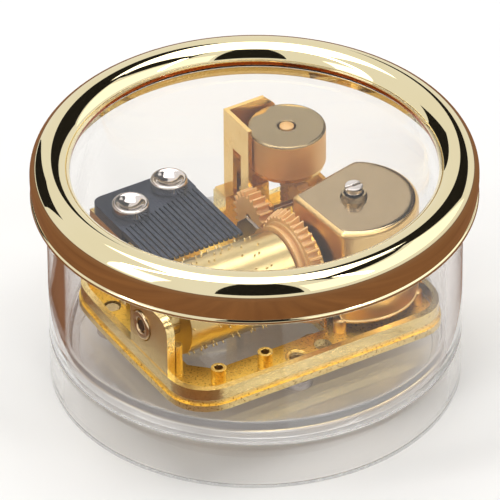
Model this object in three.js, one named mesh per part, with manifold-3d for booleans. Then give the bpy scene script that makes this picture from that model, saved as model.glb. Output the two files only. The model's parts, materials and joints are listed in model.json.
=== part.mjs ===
// Round clear music box with a spring-driven pinned-cylinder movement.
// Millimetres, +Z up. The origin is the centre of the foot ring on the table.
// The front of the case faces -Y. The movement has its own plan, described below.

import * as THREE from 'three';
import * as BufferGeometryUtils from 'three/addons/utils/BufferGeometryUtils.js';
import Module from 'manifold-3d';

const wasm = await Module();
wasm.setup();

// Clearances shared by all pieces
const seatGap = 0.25;
const runningGap = 0.3;
const slideGap = 0.25;
const overrun = 1;

// Clear case; its wall stands clear of the bedplate's corners
const wallClearance = 0.746;
const caseWall = 2.5;
const skirtWall = 2.1;
const floorTop = 11.5;
const floorThickness = 2.4;
const wallOverlap = 2.8;
const headroom = 0.4;
const skirtHaunch = 2.8;
const footChamfer = 0.5;
const bossRise = 0.8;
const bossWidth = 6.4;

// Lid: plated ring with a clear window
const lidCrown = 4.7;
const lidOverhang = 2.5;
const lidSkirtDrop = 2.7;
const lidLipInset = 0.9;
const lidLipRise = 0.7;
const lidShoulderRadius = 3.1;
const lidInnerSet = 3.2;
const lidInnerRound = 1.2;
const lidLedgeReach = 0.6;
const lidLedgeThickness = 0.5;
const windowSet = 1.7;
const windowThickness = 1.5;

// Movement plan: p runs along the bedplate's front side, q towards its back.
// The bedplate's unrounded front left corner is p 0, q 0. Heights stay above the table.
const movementTurnDeg = 31;
const movementSetForward = 0.8;

// Bedplate, as long and as deep as what it carries
const bedBackSet = 0.8;
const bedCornerRadius = 6.7;
const bedHeight = 3.9;
const webThickness = 1.3;
const rimWall = 1.4;
const rimStepHeight = 1.1;
const rimStepWidth = 0.35;

// Window in the web below the cylinder
const wellLeft = 6.2;
const wellFront = 8.3;
const wellBehindSpring = 10;
const wellChamfer = 3.2;

// Hollow posts, holes and screws on the front ledge
const postLeftP = 7.6;
const postLeftQ = 4.5;
const postRightP = 15.7;
const postRightQ = 4.3;
const postRadius = 1.2;
const postBore = 0.7;
const postTop = 17;
const plainHoleP = 26.6;
const plainHoleQ = 5.2;
const plainHoleRadius = 1.4;
const mountFrontP = 21.5;
const mountFrontQ = 4.5;
const mountSideSet = 3.9;
const mountBackSet = 9.5;
const mountScrewRadius = 1.2;
const mountHeadRadius = 2.5;
const mountHeadHeight = 1.6;

// Cylinder; its axis runs along p, and its gear just clears the floor
const drumRadius = 6.4;
const drumLeft = 5.4;
const drumLength = 19.4;
const drumToGearFace = 3.9;
const pinHeight = 0.45;
const pinWidth = 0.34;
const pinsPerTrack = 4;
const pinClearance = 0.15;
const trackStrideShare = 0.618;
const pinStrideShare = 0.271;
const pinSpreadShare = 0.8;
const cylinderArborRadius = 0.9;
const hubRadius = 3.1;
const hubLength = 1.6;
const hubRibs = 12;
const hubRibDepth = 0.35;

// Cylinder gear: collars, disc and crown teeth on its right
const gearTeeth = 42;
const gearTipRadius = 9;
const gearRootRadius = 7.9;
const crownInnerRadius = 5.8;
const crownDepth = 0.9;
const crownSink = 0.3;
const crownTipInset = 0.5;
const crownCrestShare = 0.2;
const crownBaseShare = 0.42;
const gearToothLength = 2.2;
const gearCrestDrop = 0.75;
const toothCrestShare = 0.22;
const toothBaseShare = 0.56;
const collarRadius = 7;
const collarStep = 0.35;
const collarWidth = 0.6;
const collarGrooveDepth = 0.5;

// Left end wall with its grommet, and the bearing plate right of the gear
const endWallLeft = 0.45;
const endWallThickness = 1.3;
const endWallFrontReach = 7.6;
const endWallBackReach = 3.6;
const endWallAboveAxis = 4.7;
const endWallRound = 2.6;
const grommetRadius = 2.4;
const grommetBore = 1.25;
const grommetLip = 0.35;
const ribPostP = 3.5;
const ribPostBeforeAxis = 5.3;
const ribPostRadius = 0.75;
const bearingPlateThickness = 0.6;
const bearingPlateHalfWidth = 6.2;
const bearingPlateFoot = 1.95;
const spindleBossHeight = 1.6;

// Comb
const combTeeth = 18;
const combToDrumRight = 3.4;
const combBackSet = 0.5;
const combAboveAxis = 5.5;
const combThickness = 1.9;
const combToothTip = 0.55;
const combToothRoot = 1;
const combSlot = 0.28;
const combTuckIn = 0.6;
const combBaseDepthLeft = 9.8;
const combBaseDepthRight = 5.6;
const combCornerRadius = 1.8;
const combChamfer = 3;
const combScrewLeftSet = 3.9;
const combScrewLeftDepth = 5.9;
const combScrewRightSet = 3.6;
const combScrewRightDepth = 3.4;
const combScrewHead = 2.95;
const combScrewHeight = 1.7;
const combScrewDish = 0.55;
const combScrewShank = 1.3;
const combScrewLength = 5;

// Comb table cast on the bedplate
const tableTopThickness = 3;
const tableWall = 2.2;
const tableFrontInset = 1;

// Spring housing and what turns on the winding arbor
const housingRightSet = 0.1;
const housingFrontSet = 3.8;
const housingRadius = 10.2;
const housingWall = 0.8;
const housingLift = 0.38;
const housingAboveAxis = 9.7;
const housingRound = 1.1;
const leftFlatToWheel = 1.2;
const housingLeftFlatDeg = 184;
const backFlatToWheel = 1.35;
const housingBackFlatDeg = 103;
const housingLegRadius = 1.1;
const housingLegDegs = [225, 315, 45];
const arborRadius = 1.35;
const arborBore = 1.65;
const springTurns = 5;
const springStrip = 0.3;
const springInnerRadius = 1.95;
const springToWall = 0.2;
const springHeight = 11;
const collarOuterRadius = 1.95;
const collarHeight = 0.9;
const arborScrewRadius = 1.45;
const arborScrewHeight = 1;
const arborScrewSlot = 0.45;
const mainWheelTeeth = 48;
const wheelToLeg = 0.5;
const mainWheelThickness = 1.3;
const mainWheelToothDepth = 0.9;
const ratchetTeeth = 14;
const ratchetRadius = 3.6;
const ratchetDepth = 0.7;
const ratchetThickness = 0.9;
const sawBackShare = 0.12;
const clickLength = 3.4;
const clickWidth = 1;
const clickPivotRadius = 0.5;

// Winding key below the floor
const keySpan = 22.5;
const keyFoot = 1.3;
const keyHeight = 5.9;
const keyThickness = 1.3;
const keyHubRadius = 2.2;
const keyHubDrop = 0.9;
const keyWaistShare = 0.55;
const keyWingHole = 1.5;
const floorKeyHole = 3.1;

// Intermediate arbor between the cylinder gear and the governor worm
const intermediateTeeth = 21;
const intermediateLift = 1.1;
const intermediateTipRadius = 4.6;
const intermediateRootRadius = 3.65;
const intermediateWidth = 2.3;
const intermediateOverlap = 1.7;
const intermediateArborRadius = 0.6;
const meshPlay = 0.12;
const wormWheelTeeth = 16;
const wormWheelRadius = 2.957;
const wormWheelWidth = 2;
const wormWheelToothDepth = 0.5;

// Governor: worm spindle with weights inside a fixed cup on a bracket
const bracketToGear = 1;
const cupToHousing = 2;
const cupRadius = 6.2;
const cupAboveWorm = 11.5;
const cupHeight = 6.3;
const cupWall = 0.5;
const cupRound = 0.35;
const spindleTipRadius = 1.15;
const spindleTipRise = 0.2;
const spindleRadius = 0.6;
const wormRadius = 1.3;
const wormThreadDepth = 0.4;
const wormPitch = 0.95;
const wormLength = 7.6;
const weightReach = 3.6;
const weightThickness = 1.2;
const weightHeight = 2.2;
const weightStartDeg = 12;
const rotorDiscThickness = 0.7;
const bracketSheet = 0.7;
const bracketCrest = 1.5;
const cupToBracket = 0.4;
const lugBeforeArbor = 2.25;
const lugAboveArbor = 2.6;
const lugBelowArbor = 3;
const leafBeforeSpindle = 0.2;
const slotBehindSpindle = 2.1;
const bracketSlotWidth = 2.4;
const bracketSlotDrop = 5.9;
const bracketRightReach = 3.7;
const bracketSlopeRun = 1.8;
const pedestalBeforeBracket = 1.7;
const pedestalShort = 0.9;
const pedestalDepth = 2.6;
const pedestalBelowArbor = 2.1;
const bracketScrewRadius = 0.6;
const bracketScrewHead = 1.1;

// Heights worked out from the floor upwards
const floorUnder = floorTop - floorThickness;
const wallFoot = floorTop - wallOverlap;
const keyHubTop = floorUnder - keyHubDrop;
const keyMiddle = keyFoot + keyHeight / 2;
const arborFoot = keyMiddle + seatGap;
const bedFoot = floorTop + bossRise;
const webTop = bedFoot + webThickness;
const rimTop = bedFoot + bedHeight;
const axisHeight = bedFoot + gearTipRadius;
const endWallTop = axisHeight + endWallAboveAxis;
const combTop = axisHeight + combAboveAxis;
const combFoot = combTop - combThickness;
const mainWheelFoot = webTop + runningGap;
const ratchetFoot = mainWheelFoot + mainWheelThickness + meshPlay;
const housingFoot = ratchetFoot + ratchetThickness + housingLift;
const housingTop = axisHeight + housingAboveAxis;
const springFoot = housingTop - housingWall - springHeight - runningGap;
const intermediateHeight = axisHeight + intermediateLift;
const bracketLugTop = intermediateHeight + lugAboveArbor;
const bracketLugFoot = intermediateHeight - lugBelowArbor;
const pedestalTop = intermediateHeight - pedestalBelowArbor;
const cupTop = intermediateHeight + cupAboveWorm;
const shelfTop = cupTop - cupHeight;
const bracketTop = cupTop + bracketCrest;
const bracketSlotTop = bracketTop - bracketSlotDrop;
const wallTop = bracketTop + headroom;
const windowTop = wallTop + seatGap + windowThickness;
const lidTop = wallTop + lidCrown;
const lidSkirtFoot = wallTop - lidSkirtDrop;

// Places worked out across the plan: housing, cup, worm wheel, cylinder, bracket and comb
const springQ = housingFrontSet + housingRadius;
const governorQ = springQ + housingRadius + cupToHousing + cupRadius;
const intermediateQ = governorQ - wormRadius - runningGap - wormWheelRadius;
const meshDistance = gearTipRadius + intermediateRootRadius + meshPlay + meshPlay;
const axisQ = intermediateQ - Math.sqrt(meshDistance ** 2 - intermediateLift ** 2);
const endWallFront = axisQ - endWallFrontReach;
const endWallBack = axisQ + endWallBackReach;
const ribPostQ = axisQ - ribPostBeforeAxis;
const wellBack = springQ + wellBehindSpring;
const bracketFront = intermediateQ - lugBeforeArbor;
const bracketLeafFront = governorQ - leafBeforeSpindle;
const bracketSlotFront = governorQ + slotBehindSpindle;
const bracketBack = governorQ + cupRadius + cupToBracket;
const bracketRearFace = bracketBack + bracketSheet;
const pedestalFront = bracketBack - pedestalDepth;
const bedDepth = bracketRearFace + bedBackSet;
const combBack = bedDepth - combBackSet;
const combRootLeftQ = combBack - combBaseDepthLeft;
const combRootRightQ = combBack - combBaseDepthRight;

// Places worked out along the plan, from the left to the right
const drumRight = drumLeft + drumLength;
const combLeft = drumLeft;
const combRight = drumRight - combToDrumRight;
const gearRight = drumRight + drumToGearFace;
const gearLeft = gearRight - gearToothLength;
const wellRight = gearRight + runningGap;
const bearingPlateLeft = gearRight + runningGap + meshPlay;
const mainWheelRadius = housingRadius - housingLegRadius - wheelToLeg;
const housingLeftFlat = mainWheelRadius - leftFlatToWheel;
const housingBackFlat = mainWheelRadius - backFlatToWheel;
const springP = gearRight + runningGap + runningGap + mainWheelRadius;
const bedLength = springP + housingRadius + housingRightSet;
const intermediateLeft = gearRight - intermediateOverlap;
const bracketLeft = gearRight + bracketToGear;
const governorP = bracketLeft + bracketSheet + runningGap + cupRadius;
const bracketRightLugP = governorP + bracketRightReach;
const bracketRight = bracketRightLugP + bracketSheet;
const pedestalLeft = bracketLeft - pedestalBeforeBracket;
const pedestalRight = governorP - pedestalShort;

// Radii worked out
const pinTip = drumRadius + pinHeight;
const cornerP = bedLength / 2 - bedCornerRadius;
const cornerQ = bedDepth / 2 + movementSetForward - bedCornerRadius;
const wallInnerRadius = bedCornerRadius + Math.hypot(cornerP, cornerQ) + wallClearance;
const caseOuterRadius = wallInnerRadius + caseWall;
const lidOuterRadius = caseOuterRadius + lidOverhang;
const lidInnerRadius = caseOuterRadius - lidInnerSet;
const windowRadius = caseOuterRadius - windowSet;
const springOuterRadius = housingBackFlat - housingWall - springToWall - springStrip / 2;
const springPitch = (springOuterRadius - springInnerRadius) / springTurns;

// Where the posts and the screws stand
const postPlaces = [{ p: postLeftP, q: postLeftQ }, { p: postRightP, q: postRightQ }];
const mountPlaces = [
  { name: 'front', p: mountFrontP, q: mountFrontQ },
  { name: 'left', p: mountSideSet, q: bedDepth - mountBackSet },
  { name: 'right', p: bedLength - mountSideSet, q: bedDepth - mountBackSet },
];
const combScrewPlaces = [
  { name: 'left', p: combLeft + combScrewLeftSet, q: combBack - combScrewLeftDepth },
  { name: 'right', p: combRight - combScrewRightSet, q: combBack - combScrewRightDepth },
];

// Facet counts, and half a turn in degrees
const caseSegments = 40;
const drumSegments = 32;
const roundSegments = 28;
const screwSegments = 16;
const smallSegments = 14;
const tinySegments = 8;
const arcSteps = 6;
const coarseSteps = 3;
const wormSides = 5;
const wormStepsPerTurn = 4;
const halfTurnDeg = 180;

const finishes = {
  clear: { color: 0xe8eef0, roughness: 0.05, metalness: 0, transparent: true, opacity: 0.35 },
  paleGold: { color: 0xe3cf9a, roughness: 0.08, metalness: 1 },
  gold: { color: 0xd9a53c, roughness: 0.2, metalness: 1 },
  coverGold: { color: 0xc9b27a, roughness: 0.22, metalness: 1 },
  comb: { color: 0x3f424a, roughness: 0.45, metalness: 0.7 },
  steel: { color: 0xc9c7c4, roughness: 0.18, metalness: 1 },
  springSteel: { color: 0x6f7276, roughness: 0.3, metalness: 1 },
  amber: { color: 0xcf9a56, roughness: 0.45, metalness: 0 },
  brass: { color: 0xc99a3d, roughness: 0.25, metalness: 1 },
};

const musicBox = new THREE.Group();
const movement = new THREE.Group();
movement.rotation.z = THREE.MathUtils.degToRad(movementTurnDeg);
movement.position.set(-bedLength / 2, -bedDepth / 2 - movementSetForward, 0);
movement.position.applyEuler(movement.rotation);
musicBox.add(movement);

// Names a geometry, gives it its finish and hangs it in a group
function piece(group, name, geometry, finish) {
  const mesh = new THREE.Mesh(geometry, new THREE.MeshStandardMaterial(finishes[finish]));
  mesh.name = name;
  group.add(mesh);
}

// Closed geometry to solid and back
function solid(geometry) {
  const bare = geometry.clone();
  bare.deleteAttribute('normal');
  bare.deleteAttribute('uv');
  const merged = BufferGeometryUtils.mergeVertices(bare);
  const mesh = new wasm.Mesh({
    numProp: 3,
    vertProperties: new Float32Array(merged.attributes.position.array),
    triVerts: new Uint32Array(merged.index.array),
  });
  return new wasm.Manifold(mesh);
}

function surface(body) {
  const mesh = body.getMesh();
  const geometry = new THREE.BufferGeometry();
  geometry.setAttribute('position', new THREE.BufferAttribute(mesh.vertProperties, 3));
  geometry.setIndex(new THREE.BufferAttribute(mesh.triVerts, 1));
  geometry.computeVertexNormals();
  return geometry;
}

// Joins the first list of geometries and cuts the second list away
function carve(kept, removed = []) {
  let body = solid(kept[0]);
  for (const geometry of kept.slice(1)) body = body.add(solid(geometry));
  for (const geometry of removed) body = body.subtract(solid(geometry));
  return surface(body);
}

// Keeps only what two geometries share
function common(first, second) {
  return surface(solid(first).intersect(solid(second)));
}

// Turned body about a vertical axis, from a profile of [radius, height] points
function turned(profile, segments = roundSegments) {
  const points = profile.map(([radius, height]) => new THREE.Vector2(radius, height));
  return new THREE.LatheGeometry(points, segments).rotateX(Math.PI / 2);
}

// Profile of a plain disc or tube between two heights
function tubeProfile(outer, inner, foot, top) {
  if (inner === 0) return [[0, foot], [outer, foot], [outer, top], [0, top]];
  return [[inner, foot], [outer, foot], [outer, top], [inner, top], [inner, foot]];
}

function disc(radius, foot, top, segments = roundSegments) {
  return turned(tubeProfile(radius, 0, foot, top), segments);
}

function ring(outer, inner, foot, top, segments = roundSegments) {
  return turned(tubeProfile(outer, inner, foot, top), segments);
}

// Arc points from one angle to another about a centre
function arcPoints(x, y, radius, fromDeg, toDeg, steps = arcSteps) {
  const points = [];
  for (let step = 0; step <= steps; step += 1) {
    const angle = THREE.MathUtils.degToRad(fromDeg + (toDeg - fromDeg) * step / steps);
    points.push([x + radius * Math.cos(angle), y + radius * Math.sin(angle)]);
  }
  return points;
}

// Upright prism over an outline of [p, q] points
function prism(outline, foot, top, holes = []) {
  const shape = new THREE.Shape(outline.map(([x, y]) => new THREE.Vector2(x, y)));
  for (const hole of holes) {
    shape.holes.push(new THREE.Path(hole.map(([x, y]) => new THREE.Vector2(x, y))));
  }
  const geometry = new THREE.ExtrudeGeometry(shape, { depth: top - foot, bevelEnabled: false });
  return geometry.translate(0, 0, foot);
}

// Stands an upright piece along p: its x becomes q, its y becomes height
function alongP(geometry) {
  const turn = new THREE.Matrix4().makeBasis(
    new THREE.Vector3(0, 1, 0), new THREE.Vector3(0, 0, 1), new THREE.Vector3(1, 0, 0));
  return geometry.applyMatrix4(turn);
}

// Stands an upright piece along q: its x becomes height, its y becomes p
function alongQ(geometry) {
  const turn = new THREE.Matrix4().makeBasis(
    new THREE.Vector3(0, 0, 1), new THREE.Vector3(1, 0, 0), new THREE.Vector3(0, 1, 0));
  return geometry.applyMatrix4(turn);
}

// Box between two corners
function block(low, high) {
  const size = high.map((value, index) => value - low[index]);
  const middle = high.map((value, index) => (value + low[index]) / 2);
  return new THREE.BoxGeometry(...size).translate(...middle);
}

// Outline of a rectangle with round corners
function roundedRectangle(left, front, right, back, radius) {
  return [
    ...arcPoints(right - radius, front + radius, radius, -90, 0),
    ...arcPoints(right - radius, back - radius, radius, 0, 90),
    ...arcPoints(left + radius, back - radius, radius, 90, 180),
    ...arcPoints(left + radius, front + radius, radius, 180, 270),
  ];
}

// Tooth ring; each row is a share of the tooth's half angle at a radius, from the crest inwards
function toothedOutline(teeth, rows, startDeg = 0) {
  const half = Math.PI / teeth;
  const start = THREE.MathUtils.degToRad(startDeg);
  const sides = [...rows.toReversed().map(([share, radius]) => [-share, radius]), ...rows];
  const points = [];
  for (let tooth = 0; tooth < teeth; tooth += 1) {
    for (const [share, radius] of sides) {
      const angle = start + half * (tooth + tooth + share);
      points.push([radius * Math.cos(angle), radius * Math.sin(angle)]);
    }
  }
  return points;
}

// Rows of a plain straight-sided tooth
function toothRows(tip, root) {
  return [[toothCrestShare, tip], [toothBaseShare, root]];
}

// Saw teeth for a ratchet
function sawOutline(teeth, tip, root) {
  const points = [];
  for (let tooth = 0; tooth < teeth; tooth += 1) {
    const start = 2 * Math.PI * tooth / teeth;
    points.push([root * Math.cos(start), root * Math.sin(start)]);
    const end = start + 2 * Math.PI * sawBackShare / teeth;
    points.push([tip * Math.cos(end), tip * Math.sin(end)]);
  }
  return points;
}

// Clear case

function makeBaseTray() {
  const skirtInner = caseOuterRadius - skirtWall;
  const body = turned([
    [0, floorUnder],
    [skirtInner - skirtHaunch, floorUnder],
    [skirtInner, floorUnder - skirtHaunch],
    [skirtInner, 0],
    [caseOuterRadius - footChamfer, 0],
    [caseOuterRadius, footChamfer],
    [caseOuterRadius, wallFoot],
    [wallInnerRadius - slideGap, wallFoot],
    [wallInnerRadius - slideGap, floorTop],
    [0, floorTop],
  ], caseSegments);
  const kept = [body];
  const removed = [];
  for (const { x, y } of mountPlaces.map(({ p, q }) => onTable(p, q))) {
    kept.push(disc(bossWidth / 2, floorUnder + overrun / 2, bedFoot, screwSegments).translate(x, y, 0));
    removed.push(disc(mountScrewRadius + seatGap, 0, bedFoot + overrun, smallSegments).translate(x, y, 0));
  }
  const key = onTable(springP, springQ);
  removed.push(disc(floorKeyHole, 0, bedFoot, roundSegments).translate(key.x, key.y, 0));
  piece(musicBox, 'base_tray', carve(kept, removed), 'clear');
}

// Table position of a point of the movement's plan
function onTable(p, q) {
  const place = new THREE.Vector3(p, q, 0);
  movement.updateMatrix();
  return place.applyMatrix4(movement.matrix);
}

function makeCaseWall() {
  const wall = ring(caseOuterRadius, wallInnerRadius, wallFoot, wallTop, caseSegments);
  piece(musicBox, 'case_wall', wall, 'clear');
}

function makeBezelRing() {
  const crestOuter = lidOuterRadius - lidShoulderRadius;
  const shoulderFoot = lidTop - lidShoulderRadius;
  const innerCentre = lidInnerRadius + lidInnerRound;
  const ledgeInner = lidInnerRadius - lidLedgeReach;
  const bore = caseOuterRadius + slideGap;
  const lipFoot = lidSkirtFoot + lidLipRise;
  const profile = [
    [bore, lidSkirtFoot],
    [lidOuterRadius - lidLipInset, lidSkirtFoot],
    [lidOuterRadius, lipFoot],
    ...arcPoints(crestOuter, shoulderFoot, lidShoulderRadius, 0, 90),
    ...arcPoints(innerCentre, lidTop - lidInnerRound, lidInnerRound, 90, 180, coarseSteps),
    [ledgeInner, windowTop + lidLedgeThickness],
    [ledgeInner, windowTop],
    [windowRadius + seatGap, windowTop],
    [windowRadius + seatGap, wallTop],
    [bore, wallTop],
    [bore, lidSkirtFoot],
  ];
  piece(musicBox, 'bezel_ring', turned(profile, caseSegments), 'paleGold');
}

function makeLidWindow() {
  const pane = disc(windowRadius, windowTop - windowThickness, windowTop, caseSegments);
  piece(musicBox, 'lid_window', pane, 'clear');
}

// Bedplate with everything that is cast on it

function makeBedplate() {
  const kept = [...bedPan(), ...combTable(), ...pedestal(), ...endWall(), ...bedPosts()];
  const removed = [...bedWell(), ...bedHoles()];
  piece(movement, 'bedplate', carve(kept, removed), 'gold');
}

function bedPan() {
  const step = rimStepWidth;
  const outer = roundedRectangle(0, 0, bedLength, bedDepth, bedCornerRadius);
  const upper = roundedRectangle(step, step, bedLength - step, bedDepth - step, bedCornerRadius - step);
  const inner = roundedRectangle(rimWall, rimWall, bedLength - rimWall, bedDepth - rimWall,
    bedCornerRadius - rimWall);
  return [
    prism(outer, bedFoot, bedFoot + rimStepHeight),
    prism(upper, bedFoot, rimTop, [inner.toReversed()]),
    prism(inner, bedFoot, webTop),
  ];
}

function bedWell() {
  const outline = [
    [wellLeft + wellChamfer, wellFront],
    [wellRight, wellFront],
    [wellRight, wellBack],
    [wellLeft, wellBack],
    [wellLeft, wellFront + wellChamfer],
  ];
  return [prism(outline, bedFoot - overrun, webTop + overrun / 2)];
}

function combTable() {
  const leftFront = combRootLeftQ - tableFrontInset;
  const rightFront = combRootRightQ - tableFrontInset;
  const back = bedDepth - rimStepWidth;
  const top = prism([
    [combLeft, leftFront],
    [combRight, rightFront],
    [combRight, back],
    [combLeft, back],
  ], combFoot - tableTopThickness, combFoot);
  const foot = bedFoot + webThickness / 2;
  return [
    top,
    block([combLeft, leftFront, foot], [combLeft + tableWall, back, combFoot]),
    block([combRight - tableWall, rightFront, foot], [combRight, back, combFoot]),
  ];
}

// Raised seat for the governor's bracket
function pedestal() {
  return [block([pedestalLeft, pedestalFront, bedFoot], [pedestalRight, bedDepth - rimStepWidth, pedestalTop])];
}

function endWall() {
  const outline = [
    [endWallFront, bedFoot + webThickness / 2],
    [endWallBack, bedFoot + webThickness / 2],
    ...arcPoints(endWallBack - endWallRound, endWallTop - endWallRound, endWallRound, 0, 90),
    ...arcPoints(endWallFront + endWallRound, endWallTop - endWallRound, endWallRound, 90, 180),
  ];
  return [alongP(prism(outline, endWallLeft, endWallLeft + endWallThickness))];
}

function bedPosts() {
  const posts = postPlaces.map(({ p, q }) => disc(postRadius, bedFoot, postTop, smallSegments).translate(p, q, 0));
  posts.push(disc(ribPostRadius, bedFoot, axisHeight - hubRadius / 2, tinySegments).translate(ribPostP, ribPostQ, 0));
  const bossTop = webTop + spindleBossHeight;
  posts.push(disc(wormRadius + seatGap, bedFoot, bossTop, smallSegments).translate(governorP, governorQ, 0));
  return posts;
}

function bedHoles() {
  const low = bedFoot - overrun;
  const high = postTop + overrun;
  const holes = postPlaces.map(({ p, q }) => disc(postBore, low, high, tinySegments).translate(p, q, 0));
  for (const { p, q } of mountPlaces) {
    holes.push(disc(mountScrewRadius + seatGap, low, webTop + overrun, smallSegments).translate(p, q, 0));
  }
  holes.push(disc(plainHoleRadius, low, webTop + overrun, smallSegments).translate(plainHoleP, plainHoleQ, 0));
  holes.push(disc(arborBore, low, webTop + overrun, smallSegments).translate(springP, springQ, 0));
  const wallHole = alongP(disc(grommetRadius + seatGap, 0, endWallLeft + endWallThickness + overrun, smallSegments));
  holes.push(wallHole.translate(0, axisQ, axisHeight));
  const screw = bracketScrewPlace();
  holes.push(disc(bracketScrewRadius + seatGap, bracketScrewFoot() - seatGap, pedestalTop + overrun, tinySegments)
    .translate(screw.p, screw.q, 0));
  for (const { p, q } of combScrewPlaces) {
    const depth = combTop - combScrewLength - seatGap;
    holes.push(disc(combScrewShank + seatGap, depth, combTop, smallSegments).translate(p, q, 0));
  }
  return holes;
}

// Bearings of the cylinder

function makeGrommet() {
  const bush = ring(grommetRadius, grommetBore, endWallLeft - grommetLip,
    endWallLeft + endWallThickness + grommetLip, smallSegments);
  piece(movement, 'end_grommet', onAxis(bush), 'steel');
}

// Lays a turned piece on the cylinder's axis
function onAxis(geometry) {
  return alongP(geometry).translate(0, axisQ, axisHeight);
}

function makeBearingPlate() {
  const half = bearingPlateHalfWidth;
  const wheelTop = mainWheelFoot + mainWheelThickness + runningGap;
  const reach = springP - bearingPlateLeft - bearingPlateThickness;
  const notch = Math.sqrt(mainWheelRadius ** 2 - reach ** 2) + runningGap + runningGap;
  const outline = [
    [springQ - notch - bearingPlateFoot, webTop],
    [springQ - notch, webTop],
    [springQ - notch, wheelTop],
    [springQ + notch, wheelTop],
    [springQ + notch, webTop],
    [axisQ + half, webTop],
    ...arcPoints(axisQ, axisHeight, half, 0, 180, arcSteps + arcSteps),
  ];
  const plate = alongP(prism(outline, bearingPlateLeft, bearingPlateLeft + bearingPlateThickness));
  const bore = onAxis(disc(cylinderArborRadius + runningGap, 0, springP, smallSegments));
  piece(movement, 'cylinder_bearing_plate', carve([plate], [bore]), 'gold');
}

// Comb and its screws

function makeComb() {
  const base = prism([
    [combLeft, combRootLeftQ],
    [combRight, combRootRightQ],
    [combRight, combBack - combChamfer],
    [combRight - combChamfer, combBack],
    ...arcPoints(combLeft + combCornerRadius, combBack - combCornerRadius, combCornerRadius, 90, 180),
  ], combFoot, combTop);
  const holes = combScrewPlaces.map(({ p, q }) =>
    disc(combScrewShank + seatGap, combFoot - overrun, combTop + overrun, smallSegments).translate(p, q, 0));
  piece(movement, 'comb', carve([base, ...combToothBars()], holes), 'comb');
}

function combToothBars() {
  const pitch = (combRight - combLeft) / combTeeth;
  const bars = [];
  for (let tooth = 0; tooth < combTeeth; tooth += 1) {
    const left = combLeft + pitch * tooth + combSlot / 2;
    const right = left + pitch - combSlot;
    const rootQ = combRootLeftQ + (combRootRightQ - combRootLeftQ) * (tooth + 1) / combTeeth + combTuckIn;
    const profile = [
      [combTipQ(), combTop - combToothTip],
      [rootQ, combTop - combToothRoot],
      [rootQ, combTop],
      [combTipQ(), combTop],
    ];
    bars.push(alongP(prism(profile, left, right)));
  }
  return bars;
}

// The tips stop just outside the circle that the pins sweep
function combTipQ() {
  const sweep = pinTip + pinClearance;
  const rise = combTop - combToothTip - axisHeight;
  return axisQ + Math.sqrt(sweep ** 2 - rise ** 2);
}

function makeCombScrews() {
  const head = turned([
    [0, combTop - combScrewLength],
    [combScrewShank, combTop - combScrewLength],
    [combScrewShank, combTop],
    [combScrewHead, combTop],
    [combScrewHead, combTop + combScrewHeight - combScrewDish],
    [combScrewHead - combScrewDish, combTop + combScrewHeight],
    [combScrewHead - combScrewDish - combScrewDish, combTop + combScrewHeight],
    [combScrewShank, combTop + combScrewHeight - combScrewDish],
    [0, combTop + combScrewHeight - combScrewDish],
  ], screwSegments);
  for (const { name, p, q } of combScrewPlaces) {
    piece(movement, `comb_screw_${name}`, head.clone().translate(p, q, 0), 'steel');
  }
}

// Pinned cylinder, its gear and arbor

function makeCylinder() {
  const hub = drumLeft - hubLength;
  const body = onAxis(turned([
    [cylinderArborRadius + seatGap, hub],
    [hubRadius - hubRibDepth, hub],
    [hubRadius - hubRibDepth, drumLeft],
    [drumRadius, drumLeft],
    [drumRadius, drumRight],
    [cylinderArborRadius + seatGap, drumRight],
    [cylinderArborRadius + seatGap, hub],
  ], drumSegments));
  const ribRows = toothRows(hubRadius, hubRadius - hubRibDepth - hubRibDepth);
  const ribs = onAxis(prism(toothedOutline(hubRibs, ribRows), hub + hubRibDepth, drumLeft + hubRibDepth));
  const bore = onAxis(disc(cylinderArborRadius + seatGap, 0, drumRight + overrun, tinySegments));
  piece(movement, 'pinned_cylinder', carve([body, ribs, ...drumPins()], [bore]), 'paleGold');
}

// Every comb tooth has one row of pins, spread round the drum by an even stride
function drumPins() {
  const pitch = (combRight - combLeft) / combTeeth;
  const pins = [];
  for (let track = 0; track < combTeeth; track += 1) {
    const p = combLeft + pitch * (track + 1) - pitch / 2;
    for (let pin = 0; pin < pinsPerTrack; pin += 1) {
      const jitter = (track * trackStrideShare + pin * pin * pinStrideShare) % 1;
      const turn = 2 * Math.PI * (pin + pinSpreadShare * jitter) / pinsPerTrack + track * trackStrideShare;
      const stub = new THREE.CylinderGeometry(pinWidth / 2, pinWidth / 2, pinHeight + pinHeight, 4);
      stub.translate(0, drumRadius, 0).rotateX(turn);
      pins.push(stub.translate(p, axisQ, axisHeight));
    }
  }
  return pins;
}

function makeCylinderGear() {
  const crownFoot = gearRight - crownDepth;
  const tipRow = gearTipRadius - gearCrestDrop - crownTipInset;
  const toothed = toothedOutline(gearTeeth, toothRows(gearTipRadius, gearRootRadius), meshAngleDeg());
  const crowned = toothedOutline(gearTeeth,
    [[crownCrestShare, tipRow], [crownBaseShare, crownInnerRadius]], meshAngleDeg());
  const body = [
    collars(),
    dropTips(prism(toothed, gearLeft, gearRight - crownSink), gearLeft),
    prism(crowned, crownFoot - crownSink, gearRight),
  ];
  const bore = disc(cylinderArborRadius + seatGap, 0, gearRight + overrun, tinySegments);
  piece(movement, 'cylinder_gear', onAxis(carve(body, [bore])), 'amber');
}

// Two turned collars between the drum and the teeth
function collars() {
  const foot = drumRight + seatGap;
  return turned([
    [0, foot],
    [collarRadius, foot],
    [collarRadius, foot + collarWidth],
    [collarRadius - collarGrooveDepth, foot + collarWidth],
    [collarRadius - collarGrooveDepth, gearLeft - collarWidth / 2],
    [collarRadius + collarStep, gearLeft - collarWidth / 2],
    [collarRadius + collarStep, gearLeft + collarWidth],
    [0, gearLeft + collarWidth],
  ], roundSegments);
}

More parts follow.
